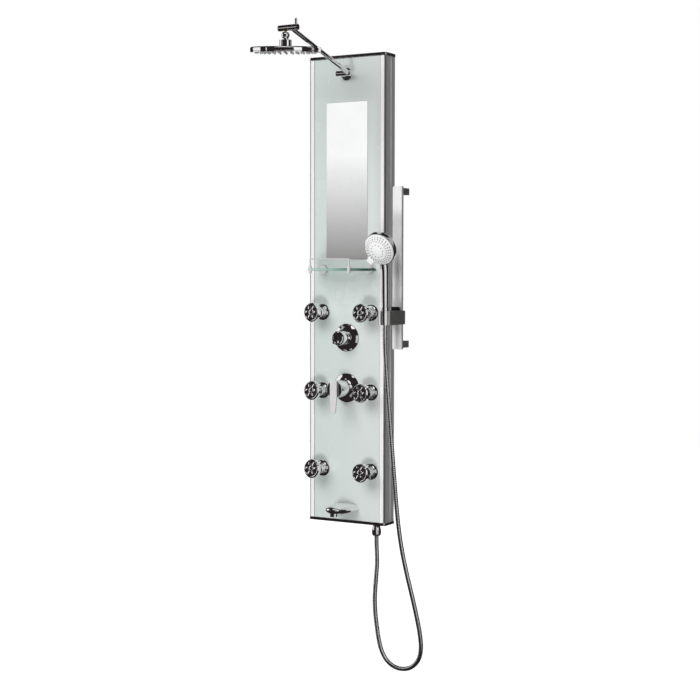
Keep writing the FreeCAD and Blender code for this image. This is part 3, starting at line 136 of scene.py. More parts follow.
class RainSettings(PropertyGroup):
    tilt: angle_setting("Tilt", "How far the head hangs from level at rest", 6.5)
    rings: IntProperty(name="Rings", description="Rings of nozzles round the middle one", default=5)
    ring_step: length_setting("Step", "Distance between rings of nozzles", 0.018)


class HandShowerSettings(PropertyGroup):
    yaw: angle_setting("Turn", "How far the head is turned to the right", -3.9)
    dip: angle_setting("Dip", "How far the head looks down", 25.8)
    dome: length_setting("Dome", "How far the middle of the face stands out", 0.016)
    face_radius: length_setting("Face", "Radius of the face", 0.0505)
    spokes: IntProperty(name="Spokes", description="Spokes of nozzles on the face", default=28)
    inner_nozzles: IntProperty(name="Inner nozzles", description="Nozzles in the inner ring", default=12)


# ---- modelling helpers

def at(point, turn=Matrix()):
    return Matrix.Translation(point) @ turn


def around(step, count):
    """A turn about Z: one of several equal steps round the full circle."""
    return Matrix.Rotation(math.tau * step / count, 4, "Z")


def middle(node):
    low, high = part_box(node)
    return (low + high) / 2


def joint(name):
    return next(item for item in frame["joints"] if item["name"] == name)


def arc(centre, radius, start, end, steps):
    """Points on an arc of a profile, from the start angle to the end angle in degrees."""
    angles = [math.radians(start + (end - start) * step / steps) for step in range(steps + 1)]
    return [(centre[0] + radius * math.cos(angle), centre[1] + radius * math.sin(angle)) for angle in angles]


def swell(start, end, bulge, steps):
    """Points of a shallow arc between two profile points, that stands out by the bulge."""
    start, end = Vector(start), Vector(end)
    run = end - start
    out = Vector((run.y, -run.x)).normalized()
    shares = [step / steps for step in range(steps + 1)]
    return [tuple(start + run * share + out * bulge * 4 * share * (1 - share)) for share in shares]


def turned(profile, place=Matrix(), steps=96, ring=False):
    """Turn a profile round the placed Z axis.

    A point is radius, height and, where it is rounded, how much.
    """
    bm = bmesh.new()
    verts = [bm.verts.new((point[0], 0, point[1])) for point in profile]
    for pair in zip(verts, verts[1:]):
        bm.edges.new(pair)
    if ring:
        bm.edges.new((verts[-1], verts[0]))
    corners = [(vert, point[2]) for vert, point in zip(verts, profile) if len(point) == 3]
    for vert, radius in corners:
        bmesh.ops.bevel(bm, geom=[vert], offset=radius, affect="VERTICES", segments=4, profile=0.5, material=-1)
    bmesh.ops.spin(bm, geom=bm.verts[:] + bm.edges[:], cent=(0, 0, 0), axis=(0, 0, 1),
                   angle=math.tau, steps=steps, use_merge=True)
    return finished(bm, place)


def finished(bm, place=Matrix()):
    """Close the seams, turn the faces outward and put the piece in its place."""
    bmesh.ops.remove_doubles(bm, verts=bm.verts, dist=MERGE_DISTANCE)
    bmesh.ops.recalc_face_normals(bm, faces=bm.faces)
    bmesh.ops.transform(bm, matrix=place, verts=bm.verts)
    return bm


def softened(bm, width, segments=3, least_turn=30):
    """Round every edge that turns by more than the least angle."""
    edges = [
        edge for edge in bm.edges
        if len(edge.link_faces) == 2 and edge.calc_face_angle() > math.radians(least_turn)
    ]
    bmesh.ops.bevel(bm, geom=edges, offset=width, affect="EDGES", segments=segments, profile=0.5,
                    material=-1, clamp_overlap=True)
    return bm


def block(low, high, soft=0.0004, segments=2):
    """A box with softened edges between two corners."""
    bm = bmesh.new()
    bmesh.ops.create_cube(bm, size=1)
    size = Vector(high) - Vector(low)
    bmesh.ops.scale(bm, vec=size, verts=bm.verts)
    bmesh.ops.translate(bm, vec=(Vector(high) + Vector(low)) / 2, verts=bm.verts)
    return softened(bm, soft, segments)


def prism(outline, height, place=Matrix(), soft=0.0004, segments=2):
    """A flat outline, raised along Z, with softened edges."""
    bm = bmesh.new()
    face = bm.faces.new([bm.verts.new((x, y, 0)) for x, y in outline])
    raised = bmesh.ops.extrude_face_region(bm, geom=[face])
    tops = [item for item in raised["geom"] if isinstance(item, bmesh.types.BMVert)]
    bmesh.ops.translate(bm, vec=(0, 0, height), verts=tops)
    bmesh.ops.recalc_face_normals(bm, faces=bm.faces)
    softened(bm, soft, segments)
    return finished(bm, place)


def rod(start, end, radius, soft=0.0004, steps=48):
    """A round bar between two points."""
    run = Vector(end) - Vector(start)
    profile = [(0, 0), (radius, 0, soft), (radius, run.length, soft), (0, run.length)]
    return turned(profile, at(start, run.to_track_quat("Z", "Y").to_matrix().to_4x4()), steps)


def ball(centre, radius, steps=32):
    bm = bmesh.new()
    bmesh.ops.create_uvsphere(bm, u_segments=steps, v_segments=steps // 2, radius=radius)
    bmesh.ops.translate(bm, vec=centre, verts=bm.verts)
    return bm


def skinned(rings):
    """A closed skin over rings, each a matrix for a unit circle."""
    bm = bmesh.new()
    loops = []
    for index, ring in enumerate(rings):
        capped = index in (0, len(rings) - 1)
        made = bmesh.ops.create_circle(bm, cap_ends=capped, segments=64, radius=1, matrix=ring)
        own = set(made["verts"])
        loops.append([edge for edge in bm.edges if set(edge.verts) <= own])
    for first, second in zip(loops, loops[1:]):
        bmesh.ops.bridge_loops(bm, edges=first + second)
    return finished(bm)


def joined(*parts):
    """One mesh that holds several closed parts."""
    whole = bmesh.new()
    for part in parts:
        loose = bpy.data.meshes.new("loose_part")
        part.to_mesh(loose)
        part.free()
        whole.from_mesh(loose)
        bpy.data.meshes.remove(loose)
    return whole


def recast(node, soft, segments=2, least_turn=30):
    """A merged copy of a CAD node, with its edges softened."""
    bm = bmesh.new()
    bm.from_mesh(frame["nodes"][node].data)
    bmesh.ops.remove_doubles(bm, verts=bm.verts, dist=MERGE_DISTANCE)
    bmesh.ops.dissolve_limit(bm, angle_limit=math.radians(0.5), verts=bm.verts, edges=bm.edges)
    return softened(bm, soft, segments, least_turn)


def new_object(name, data):
    made = bpy.data.objects.new(name, data)
    bpy.context.scene.collection.objects.link(made)
    return made


def mesh_object(name, bm, material):
    mesh = bpy.data.meshes.new(name)
    bm.to_mesh(mesh)
    bm.free()
    mesh.materials.append(material)
    return new_object(name, mesh)


def piece(name, bm, *nodes, finish=None, body=None):
    """Turn a mesh into a named piece that rides on a body and stands for its CAD nodes."""
    made = mesh_object(name, bm, finishes[finish or slot_of[nodes[0]]])
    made.data.shade_smooth()
    made.data.set_sharp_from_angle(angle=SHARP_ANGLE)
    weighted = made.modifiers.new("Even shading", "WEIGHTED_NORMAL")
    weighted.keep_sharp = True
    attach(made, body or body_of[nodes[0]])
    if nodes:
        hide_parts(*nodes)
    return made


# ---- shader helpers

def new_node(tree, kind, inputs=None, **settings):
    """A shader node with its own settings. An input takes a value, or another node's output."""
    node = tree.nodes.new(kind)
    for label, value in settings.items():
        setattr(node, label, value)
    for socket, value in (inputs or {}).items():
        if isinstance(value, bpy.types.NodeSocket):
            tree.links.new(value, node.inputs[socket])
        else:
            node.inputs[socket].default_value = value
    return node


def object_place(tree):
    return new_node(tree, "ShaderNodeTexCoord").outputs["Object"]


def object_axis(tree, axis):
    return new_node(tree, "ShaderNodeSeparateXYZ", {"Vector": object_place(tree)}).outputs[axis]


def new_group(name, inputs, outputs):
    """A shader node group with number sockets in and out."""
    tree = bpy.data.node_groups.new(name, "ShaderNodeTree")
    for label, default in inputs.items():
        tree.interface.new_socket(label, in_out="INPUT", socket_type="NodeSocketFloat").default_value = default
    for label in outputs:
        tree.interface.new_socket(label, in_out="OUTPUT", socket_type="NodeSocketFloat")
    return tree, new_node(tree, "NodeGroupInput").outputs


def handling_marks():
    """Faint rubbed patches and hair-fine scratches, as a mask from 0 to 1 and a height."""
    tree, given = new_group("handling_marks", {"Patch scale": 18.0, "Scratch scale": 240.0}, ("Mask", "Height"))
    place = object_place(tree)
    patches = new_node(tree, "ShaderNodeTexNoise", {
        "Vector": place, "Scale": given["Patch scale"], "Detail": 5, "Roughness": 0.6})
    scratches = new_node(tree, "ShaderNodeTexNoise", {
        "Vector": place, "Scale": given["Scratch scale"], "Detail": 2, "Distortion": 1.5})
    spread = new_node(tree, "ShaderNodeMapRange", {
        "Value": patches.outputs["Fac"], "From Min": 0.38, "From Max": 0.72}, interpolation_type="SMOOTHSTEP")
    new_node(tree, "NodeGroupOutput", {"Mask": spread.outputs["Result"], "Height": scratches.outputs["Fac"]})


def drawn_grain():
    """Grain drawn out along the height of a rail, as a mask from 0 to 1."""
    tree, given = new_group("drawn_grain", {"Across scale": 900.0, "Along scale": 9.0}, ("Mask",))
    scale = new_node(tree, "ShaderNodeCombineXYZ", {
        "X": given["Across scale"], "Y": given["Across scale"], "Z": given["Along scale"]})
    stretch = new_node(
        tree, "ShaderNodeVectorMath", {0: object_place(tree), 1: scale.outputs["Vector"]}, operation="MULTIPLY")
    noise = new_node(tree, "ShaderNodeTexNoise", {"Vector": stretch.outputs["Vector"], "Scale": 1, "Detail": 3})
    new_node(tree, "NodeGroupOutput", {"Mask": noise.outputs["Fac"]})


class Finish:
    """One material around a Principled shader, kept under the name of its slot."""

    def __init__(self, slot, **sockets):
        self.material = bpy.data.materials.new(f"{slot}_finish")
        self.material.use_nodes = True
        self.tree = self.material.node_tree
        self.shader = self.tree.nodes["Principled BSDF"]
        for label, value in sockets.items():
            self.shader.inputs[label.replace("_", " ")].default_value = value
        finishes[slot] = self.material

    def add(self, kind, inputs, **settings):
        return new_node(self.tree, kind, inputs, **settings).outputs

    def drive(self, label, output):
        """Link an output to an input of the shader."""
        self.tree.links.new(output, self.shader.inputs[label])

    def group(self, name, *values):
        """The outputs of a shader group, whose inputs take the values in order."""
        return self.add("ShaderNodeGroup", dict(enumerate(values)), node_tree=bpy.data.node_groups[name])

    def mixed(self, mask, first, second):
        return self.add("ShaderNodeMix", {"Factor": mask, "A": first, "B": second}, data_type="RGBA")["Result"]

    def colour(self, mask, first, second):
        """Base colour from the first to the second colour, by a mask."""
        mixed = self.mixed(mask, (*first, 1), (*second, 1))
        self.drive("Base Color", mixed)
        return mixed

    def painted_dark_corner(self, face, node, dark):
        """Darken the rounded outer corner at the front of the rails, which share one material. The darkening is a
        painted reflection of the dark studio, not a tone of the metal.
        """
        low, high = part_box(node)
        side = self.add("ShaderNodeMath", {0: object_axis(self.tree, "X")}, operation="ABSOLUTE")["Value"]
        outer = self.add("ShaderNodeMath", {0: side, 1: high.x - 0.0022, 2: 0.0027}, operation="COMPARE")["Value"]
        front = self.add("ShaderNodeMapRange", {
            "Value": object_axis(self.tree, "Y"), "From Min": low.y + 0.0052, "From Max": low.y + 0.0042})["Result"]
        # the mask of the painted dark reflection on the outer front corner
        painted_corner_mask = self.add("ShaderNodeMath", {0: outer, 1: front}, operation="MULTIPLY")["Value"]
        self.drive("Base Color", self.mixed(painted_corner_mask, face, (*dark, 1)))

    def across(self, node):
        """A mask from 0 at the left edge of a CAD node to 1 at its right edge."""
        low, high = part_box(node)
        return self.add("ShaderNodeMapRange", {
            "Value": object_axis(self.tree, "X"), "From Min": low.x, "From Max": high.x})["Result"]

    def roughness(self, mask, low, high):
        spread = self.add("ShaderNodeMapRange", {"Value": mask, "To Min": low, "To Max": high})
        self.drive("Roughness", spread["Result"])

    def bump(self, height, strength, distance):
        bump = self.add("ShaderNodeBump", {"Height": height, "Strength": strength, "Distance": distance})
        self.drive("Normal", bump["Normal"])


def darker(colour, share):
    return tuple(channel * share for channel in colour)


# ---- finishes

def marked_finish(slot, colour, smooth, rough, scales, rubbed, bump, metallic):
    """A finish with handling marks: darker and rougher in patches, with fine scratches."""
    made = Finish(slot, Metallic=metallic)
    mask, height = made.group("handling_marks", *scales)
    made.colour(mask, colour, darker(colour, rubbed))
    made.roughness(mask, smooth, rough)
    made.bump(height, *bump)


def chrome_finish(slot, colour, smooth, rough):
    """Bright plating, with the faint rubbed patches that hands and cloths leave."""
    marked_finish(slot, colour, smooth, rough, (24.0, 320.0), 0.94, (0.02, 0.00002), 1.0)


def satin_chrome_finish(colour):
    """Matt chrome, brushed fine, that shows only broad light and dark."""
    marked_finish("satin_chrome", colour, 0.3, 0.38, (30.0, 900.0), 0.95, (0.05, 0.00003), 0.2)


def sheet_finish(slot, colour, smooth, rough, metallic):
    """Plated sheet or bare brass, with broad cloudy patches."""
    marked_finish(slot, colour, smooth, rough, (60.0, 500.0), 0.8, (0.15, 0.0001), metallic)


def plastic_finish(slot, colour, smooth, rough, bump=0.1):
    """Moulded plastic or rubber, with a fine even texture."""
    marked_finish(slot, colour, smooth, rough, (40.0, 1800.0), 0.9, (bump, 0.00005), 0.0)


def aluminium_finish(colour):
    """Satin anodised extrusion, with its die lines along the length."""
    made = Finish("aluminium", Metallic=0.1, Specular_IOR_Level=0.5)
    grain = made.group("drawn_grain", 1400.0, 5.0)["Mask"]
    face = made.colour(grain, darker(colour, 0.93), colour)
    made.roughness(grain, 0.3, 0.42)
    # painted reflection: the rounded front corners of the rails are darkened in the colour, standing for the dark
    # studio they reflect
    made.painted_dark_corner(face, "side_rail_right", darker(colour, 0.12))
    made.bump(grain, 0.08, 0.0001)


def painted_glass_finish(left, right):
    """Toughened glass over pale paint, under a hard gloss. The colour lightens towards the right: partly the
    paint's own tone and partly painted light, with painted shade at the left edge.
    """
    made = Finish("panel_glass", Coat_Weight=1.0, Coat_Roughness=0.015, Coat_IOR=1.52)
    # painted light and shade: the left-to-right lightening stands partly for how light falls on the panel
    made.colour(made.across("front_glass"), left, right)
    mask, height = made.group("handling_marks", 6.0, 90.0)
    made.roughness(mask, 0.22, 0.3)
    made.bump(height, 0.01, 0.00002)


def mirror_finish():
    made = Finish("mirror", Metallic=1.0)
    mask = made.group("handling_marks", 10.0, 60.0)["Mask"]
    made.colour(mask, (0.93, 0.94, 0.935), (0.90, 0.915, 0.91))
    made.roughness(mask, 0.004, 0.02)


def clear_glass_finish(tint):
    """The clear glass of the shelf, with a green tint and a few cloudy water marks."""
    made = Finish("shelf_glass", Transmission_Weight=1.0, IOR=1.52)
    mask = made.group("handling_marks", 16.0, 120.0)["Mask"]
    made.colour(mask, tint, darker(tint, 0.97))
    made.roughness(mask, 0.0, 0.015)


def ground_edge_finish(left, right):
    """The matt ground edge of the shelf, which holds the green of the glass behind it. Its colour runs from pale at
    the left end to deep at the right: a painted reflection of the bright studio at the left and painted shade at
    the right.
    """
    made = Finish("shelf_edge", Transmission_Weight=0.35, IOR=1.52, Specular_IOR_Level=0.25)
    # painted reflection and shade: pale at the left end, deep green at the right
    made.colour(made.across("shelf_glass"), left, right)
    made.roughness(made.group("handling_marks", 50.0, 900.0)["Mask"], 0.3, 0.4)


def hose_finish():
    """Spiral-wound metal strip: a ridge for each turn, with painted shade darkening the seam between turns."""
    made = Finish("hose_metal", Metallic=1.0)
    along = made.add("ShaderNodeTexCoord", {})["UV"]
    ridge = made.add(
        "ShaderNodeTexWave", {"Vector": along, "Scale": 170.0}, bands_direction="X", wave_profile="SIN")["Fac"]
    # painted shade: the colour darkens in the seam between turns, where shade falls
    made.colour(ridge, (0.55, 0.55, 0.555), (0.92, 0.92, 0.93))
    made.roughness(ridge, 0.26, 0.13)
    made.bump(ridge, 0.35, 0.0005)


def make_finishes(settings):
    handling_marks()
    drawn_grain()
    chrome = tuple(settings.chrome_colour)
    chrome_finish("chrome", chrome, 0.03, 0.075)
    chrome_finish("chromed_plastic", chrome, 0.045, 0.09)
    chrome_finish("cap_plastic", darker(chrome, 0.8), 0.07, 0.14)
    aluminium_finish(tuple(settings.aluminium_colour))
    painted_glass_finish(tuple(settings.glass_shaded_left), tuple(settings.glass_lit_right))
    mirror_finish()
    clear_glass_finish(tuple(settings.shelf_tint))
    ground_edge_finish(tuple(settings.shelf_edge_lit_left), tuple(settings.shelf_edge_shaded_right))
    satin_chrome_finish((0.74, 0.745, 0.74))
    sheet_finish("steel_sheet", (0.50, 0.51, 0.52), 0.34, 0.5, 0.85)
    sheet_finish("brass", (0.63, 0.46, 0.20), 0.26, 0.42, 1.0)
    hose_finish()
    plastic_finish("valve_plastic", (0.62, 0.61, 0.57), 0.38, 0.5)
    plastic_finish("pipe_plastic", (0.70, 0.71, 0.70), 0.4, 0.52)
    plastic_finish("nozzle_rubber", (0.07, 0.07, 0.073), 0.5, 0.65, 0.25)
    plastic_finish("pale_rubber", (0.62, 0.62, 0.63), 0.45, 0.6, 0.25)
    plastic_finish("slider_plastic", tuple(settings.slider_colour), 0.3, 0.42, 0.3)
    plastic_finish("black_plastic", (0.012, 0.012, 0.013), 0.16, 0.26)
    plastic_finish("spray_face", tuple(settings.face_colour), 0.3, 0.4)


# ---- studio

STUDIO_RADIUS = 7.5
SOFT_BOXES = {
    # azimuth from straight ahead towards the right, rise, width and height in degrees, distance, level
    "left_box": (-74, 10, 40, 70, 6.8, 1.0),
    "right_box": (69, 8, 26, 76, 6.8, 1.1),
    "top_box": (28, 50, 56, 22, 6.8, 1.2),
    "low_card": (41, -12, 34, 34, 2.3, 0.6),
    "rear_box": (180, 12, 30, 60, 6.8, 0.9),
    "rear_left_box": (-148, -10, 34, 60, 6.8, 0.9),
    "rear_right_box": (128, 30, 12, 50, 6.8, 0.45),
}
LAMPS = {
    # azimuth and rise in degrees, distance and size in metres; the power is a setting of the stage
    "key_lamp": (-8, 27, 4.6, 3.2),
    "low_lamp": (4, -22, 2.6, 0.6),
    "rear_lamp": (-142, 24, 4.6, 2.6),
}


def glow(name, level):
    """A material that only shines, and its shader. At level 1 it is white."""
    material = bpy.data.materials.new(name)
    material.use_nodes = True
    material.cycles.emission_sampling = "NONE"
    tree = material.node_tree
    tree.nodes.remove(tree.nodes["Principled BSDF"])
    shine = new_node(tree, "ShaderNodeEmission", {"Strength": level})
    tree.links.new(shine.outputs["Emission"], tree.nodes["Material Output"].inputs["Surface"])
    return material, shine


def stage_piece(name, bm, material, only_reflected=True):
    """Part of the studio. Most of it shows only in what the object reflects."""
    made = mesh_object(name, bm, material)
    if only_reflected:
        made.visible_camera = False
        made.visible_diffuse = False
        made.visible_transmission = False
        made.visible_shadow = False
    return made


def direction(azimuth, rise):
    """From the object outward: the azimuth starts straight ahead of the panel and grows to the right."""
    azimuth, rise = math.radians(azimuth), math.radians(rise)
    return Vector((math.sin(azimuth) * math.cos(rise), -math.cos(azimuth) * math.cos(rise), math.sin(rise)))


def soft_box(name, azimuth, rise, wide, high, distance, level):
    """A bright panel in the studio, facing the object."""
    towards = direction(azimuth, rise)
    bm = bmesh.new()
    bmesh.ops.create_grid(bm, x_segments=1, y_segments=1, size=0.5)
    size = [2 * distance * math.tan(math.radians(spread / 2)) for spread in (wide, high)]
    bmesh.ops.scale(bm, vec=(*size, 1), verts=bm.verts)
    facing = (-towards).to_track_quat("Z", "Y").to_matrix().to_4x4()
    bmesh.ops.transform(bm, matrix=at(towards * distance, facing), verts=bm.verts)
    stage_piece(name, bm, glow(f"{name}_glow", level)[0])


def mirror_card():
    """The narrow card that the mirror shows to the camera: white at its top, grey at its foot."""
    material, shine = glow("mirror_card_glow", 1.02)
    tree = material.node_tree
    low, high = 0.10, 1.25
    rise = new_node(
        tree, "ShaderNodeMapRange", {"Value": object_axis(tree, "Z"), "From Min": low, "From Max": high})
    shade = new_node(tree, "ShaderNodeValToRGB", {"Fac": rise.outputs["Result"]})
    foot, top = shade.color_ramp.elements
    foot.color = (0.25, 0.25, 0.245, 1)
    top.position = 0.7
    top.color = (1, 1, 1, 1)
    tree.links.new(shade.outputs["Color"], shine.inputs["Color"])
    heading = bpy.context.scene.stage_settings.camera_heading
    away = Vector((-math.sin(heading), -math.cos(heading), 0)) * 6
    bm = bmesh.new()
    bmesh.ops.create_cube(bm, size=1)
    bmesh.ops.scale(bm, vec=(0.44, 0.01, high - low + 0.1), verts=bm.verts)
    bmesh.ops.rotate(bm, matrix=Matrix.Rotation(-heading, 3, "Z"), verts=bm.verts)
    bmesh.ops.translate(bm, vec=away + Vector((0, 0, (low + high) / 2)), verts=bm.verts)
    stage_piece("mirror_card", bm, material)


def make_world(level):
    """Soft light from all round, and a white background for whatever sees it."""
    world = bpy.data.worlds.new("studio_world")
    bpy.context.scene.world = world
    world.use_nodes = True
    tree = world.node_tree
    tree.nodes.clear()
    path = new_node(tree, "ShaderNodeLightPath").outputs
    seen = path["Is Camera Ray"]
    for ray in ("Is Glossy Ray", "Is Transmission Ray"):
        seen = new_node(tree, "ShaderNodeMath", {0: seen, 1: path[ray]}, operation="MAXIMUM").outputs["Value"]
    fill = new_node(tree, "ShaderNodeBackground", {"Color": (1, 1, 1, 1), "Strength": level})
    white = new_node(tree, "ShaderNodeBackground", {"Color": (1, 1, 1, 1)})
    mix = new_node(tree, "ShaderNodeMixShader", {
        "Fac": seen, 1: fill.outputs["Background"], 2: white.outputs["Background"]})
    new_node(tree, "ShaderNodeOutputWorld", {"Surface": mix.outputs["Shader"]})


def make_floor(height):
    """A pale floor that shows white to the camera and keeps the object's soft shadow."""
    material = bpy.data.materials.new("studio_floor_paint")
    material.use_nodes = True
    tree = material.node_tree
    shader = tree.nodes["Principled BSDF"]
    shader.inputs["Base Color"].default_value = (0.4, 0.4, 0.4, 1)
    shader.inputs["Roughness"].default_value = 0.9
    shader.inputs["Emission Color"].default_value = (1, 1, 1, 1)
    away = new_node(tree, "ShaderNodeVectorMath", {0: object_place(tree)}, operation="LENGTH")
    fade = new_node(tree, "ShaderNodeMapRange", {
        "Value": away.outputs["Value"], "From Min": 1.6, "From Max": 4.5, "To Min": 0.84})
    seen = new_node(tree, "ShaderNodeLightPath").outputs["Is Camera Ray"]
    lift = new_node(tree, "ShaderNodeMath", {0: seen, 1: fade.outputs["Result"]}, operation="MULTIPLY")
    tree.links.new(lift.outputs["Value"], shader.inputs["Emission Strength"])
    bm = bmesh.new()
    bmesh.ops.create_circle(bm, cap_ends=True, segments=96, radius=STUDIO_RADIUS * 0.95)
    bmesh.ops.translate(bm, vec=(0, 0, height), verts=bm.verts)
    floor = stage_piece("studio_floor", bm, material, only_reflected=False)
    floor.visible_glossy = False


def area_lamp(name, azimuth, rise, distance, size, power):
    lamp = bpy.data.lights.new(name, "AREA")
    lamp.shape = "DISK"
    lamp.size = size
    lamp.energy = power
    made = new_object(name, lamp)
    towards = direction(azimuth, rise)
    made.matrix_world = at(towards * distance, towards.to_track_quat("Z", "Y").to_matrix().to_4x4())
    made.visible_glossy = False
    made.visible_camera = False


def make_camera(settings):
    camera = bpy.data.cameras.new("photo_camera")
    camera.lens = settings.camera_lens
    camera.sensor_width = 36
    made = new_object("photo_camera", camera)
    heading = Matrix.Rotation(settings.camera_heading, 4, "Z")
    dip = Matrix.Rotation(math.radians(90) - settings.camera_dip, 4, "X")
    roll = Matrix.Rotation(settings.camera_roll, 4, "Z")
    made.matrix_world = Matrix.Translation(settings.camera_place) @ heading @ dip @ roll
    bpy.context.scene.camera = made


class SHOWER_OT_stage(Operator):
    """Set up the camera, the lamps, the floor and what the chrome reflects"""
    bl_idname = "shower.stage"
    bl_label = "Stage"

    def execute(self, context):
        settings = context.scene.stage_settings
        context.scene.view_settings.view_transform = "Standard"
        make_world(settings.fill_level)
        make_floor(settings.floor_drop)
        make_camera(settings)
        for name, values in LAMPS.items():
            area_lamp(name, *values, getattr(settings, name.replace("lamp", "power")))
        tent = bmesh.new()
        bmesh.ops.create_uvsphere(tent, u_segments=48, v_segments=24, radius=STUDIO_RADIUS)
        dark, shine = glow("studio_tent_glow", 0.024)
        shine.inputs["Color"].default_value = (1, 0.84, 0.88, 1)
        stage_piece("studio_tent", tent, dark)
        for name, values in SOFT_BOXES.items():
            soft_box(name, *values)
        mirror_card()
        return {"FINISHED"}


class SHOWER_OT_finishes(Operator):
    """Make the materials, and give every CAD node the one of its slot"""
    bl_idname = "shower.finishes"
    bl_label = "Finishes"

    def execute(self, context):
        make_finishes(context.scene.finish_settings)
        for name, node in frame["nodes"].items():
            node.data.materials[0] = finishes[slot_of[name]]
        return {"FINISHED"}


# ---- case

class SHOWER_OT_case(Operator):
    """Build the caps, the mirror with its ground edge and the black seals along the sides of the glass"""
    bl_idname = "shower.case"
    bl_label = "Case"

    def execute(self, context):
        for node in ("top_cap", "bottom_cap"):
            piece(f"{node}_moulded", recast(node, 0.0012, 3), node)
        low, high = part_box("mirror")
        piece("mirror_pane", block(low, high, 0.0008, 2), "mirror")
        low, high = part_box("front_glass")
        seal = 0.0018
        strips = [
            block((edge - seal / 2, low.y - 0.0007, low.z), (edge + seal / 2, low.y + 0.001, high.z), 0.0003, 2)
            for edge in (low.x, high.x)
        ]
        piece("glass_seals", joined(*strips), finish="black_plastic", body=body_of["front_glass"])
        return {"FINISHED"}


# ---- controls

def control_plate(node, edge, hole_shoulder):
    """A domed cover plate on a thin flange."""
    low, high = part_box(node)
    centre = middle(node)
    radius = (high.x - low.x) / 2
    height = high.y - low.y
    bore = hole_shoulder - 0.003
    dome = swell((radius - 0.0012, edge), (hole_shoulder, height), 0.0016, 24)
    profile = [(radius, 0), (radius, edge, 0.0006), *dome, (bore, height), (bore, 0)]
    return turned(profile, at((centre.x, high.y, centre.z), FORWARD), 128, ring=True)


class SHOWER_OT_controls(Operator):
    """Build the mixer and diverter with their plates, handle, lever and knob"""
    bl_idname = "shower.controls"
    bl_label = "Controls"

    def execute(self, context):
        piece("mixer_plate_polished", control_plate("mixer_plate", 0.0022, 0.0224), "mixer_plate")
        piece("diverter_plate_polished", control_plate("diverter_plate", 0.0022, 0.0182), "diverter_plate")
        piece("mixer_lever_satin", recast("mixer_lever", 0.0009, 3), "mixer_lever", finish="satin_chrome")
        piece("mixer_handle_polished", recast("mixer_handle", 0.0008, 3), "mixer_handle")
        self.knob()
        return {"FINISHED"}

    def knob(self):
        """The diverter knob: a dished front with a bright ring, a waist at the back and its pointer."""
        centre = middle("diverter_plate")
        front, back = (corner.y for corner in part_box("diverter_knob"))
        radius = 0.023
        length = back - front
        profile = [
            (0, 0),
            (radius - 0.003, 0, 0.0005),
            (radius - 0.0022, 0.003, 0.0008),
            (radius, 0.0055, 0.0008),
            (radius, length - 0.0005, 0.002),
            (radius - 0.0045, length, 0.0004),
            *swell((radius - 0.006, length - 0.0012), (0, length - 0.0022), -0.0006, 10),
        ]
        grip = turned(profile, at((centre.x, back, centre.z), FORWARD), 128)
        pointer = block((0.020, -0.0035, -0.003), (0.027, 0.0035, 0.003), 0.0012, 3)
        lean = Matrix.Rotation(math.radians(-140), 4, "Z")
        bmesh.ops.transform(pointer, matrix=at((centre.x, front + 0.005, centre.z), FORWARD @ lean),
                            verts=pointer.verts)
        piece("diverter_knob_polished", joined(grip, pointer), "diverter_knob")


# ---- body jets

def jet_turn(settings, number):
    pitch = math.radians(settings.pitches[number - 1])
    axis = Vector((-pitch, 0, -settings.yaw))
    return Matrix.Rotation(axis.length, 4, axis) @ FORWARD


def jet_face(settings):
    """The front of one head, from the ball's centre: rim, recess, hub and petals."""
    rim = [
        (0, -0.011),
        *arc((0, 0), 0.011, -90, 57, 14),
        (0.006, 0.0145, 0.001),
        (0.0168, 0.017, 0.001),
        (0.0305, 0.0275, 0.0008),
        (0.0305, 0.0375, 0.0012),
        (0.0281, 0.0409, 0.0006),
        (0.0262, 0.0409, 0.0006),
        (0.0248, 0.0392, 0.0006),
        (0.0102, 0.0388, 0.0004),
        (0.0092, 0.0402, 0.0006),
        (0.0062, 0.0408, 0.0006),
        (0.0048, 0.0396),
        (0, 0.0394),
    ]
    parts = [turned(rim, steps=96)]
    for step in range(settings.petals):
        petal = [
            Matrix.Translation((place, 0, rise)) @ Matrix.Diagonal((half, wide, 1, 1))
            for place, rise, half, wide in (
                (0.0162, 0.0386, 0.0080, 0.0050),
                (0.0162, 0.0394, 0.0077, 0.0047),
                (0.0164, 0.0399, 0.0064, 0.0034),
                (0.0166, 0.0403, 0.0046, 0.0020),
                (0.0168, 0.0405, 0.0020, 0.0007),
            )
        ]
        parts.append(skinned([around(step, settings.petals) @ ring for ring in petal]))
    return joined(*parts)


class SHOWER_OT_jets(Operator):
    """Build the six swivelling body jets"""
    bl_idname = "shower.jets"
    bl_label = "Body jets"

    def execute(self, context):
        settings = context.scene.jet_settings
        for number in range(1, 7):
            ring = middle(f"jet_ring_{number}")
            head = jet_face(settings)
            place = at((ring.x, -settings.ball_out, ring.z), jet_turn(settings, number))
            bmesh.ops.transform(head, matrix=place, verts=head.verts)
            piece(f"jet_head_{number}_polished", head, f"jet_head_{number}")
        return {"FINISHED"}


# ---- spout

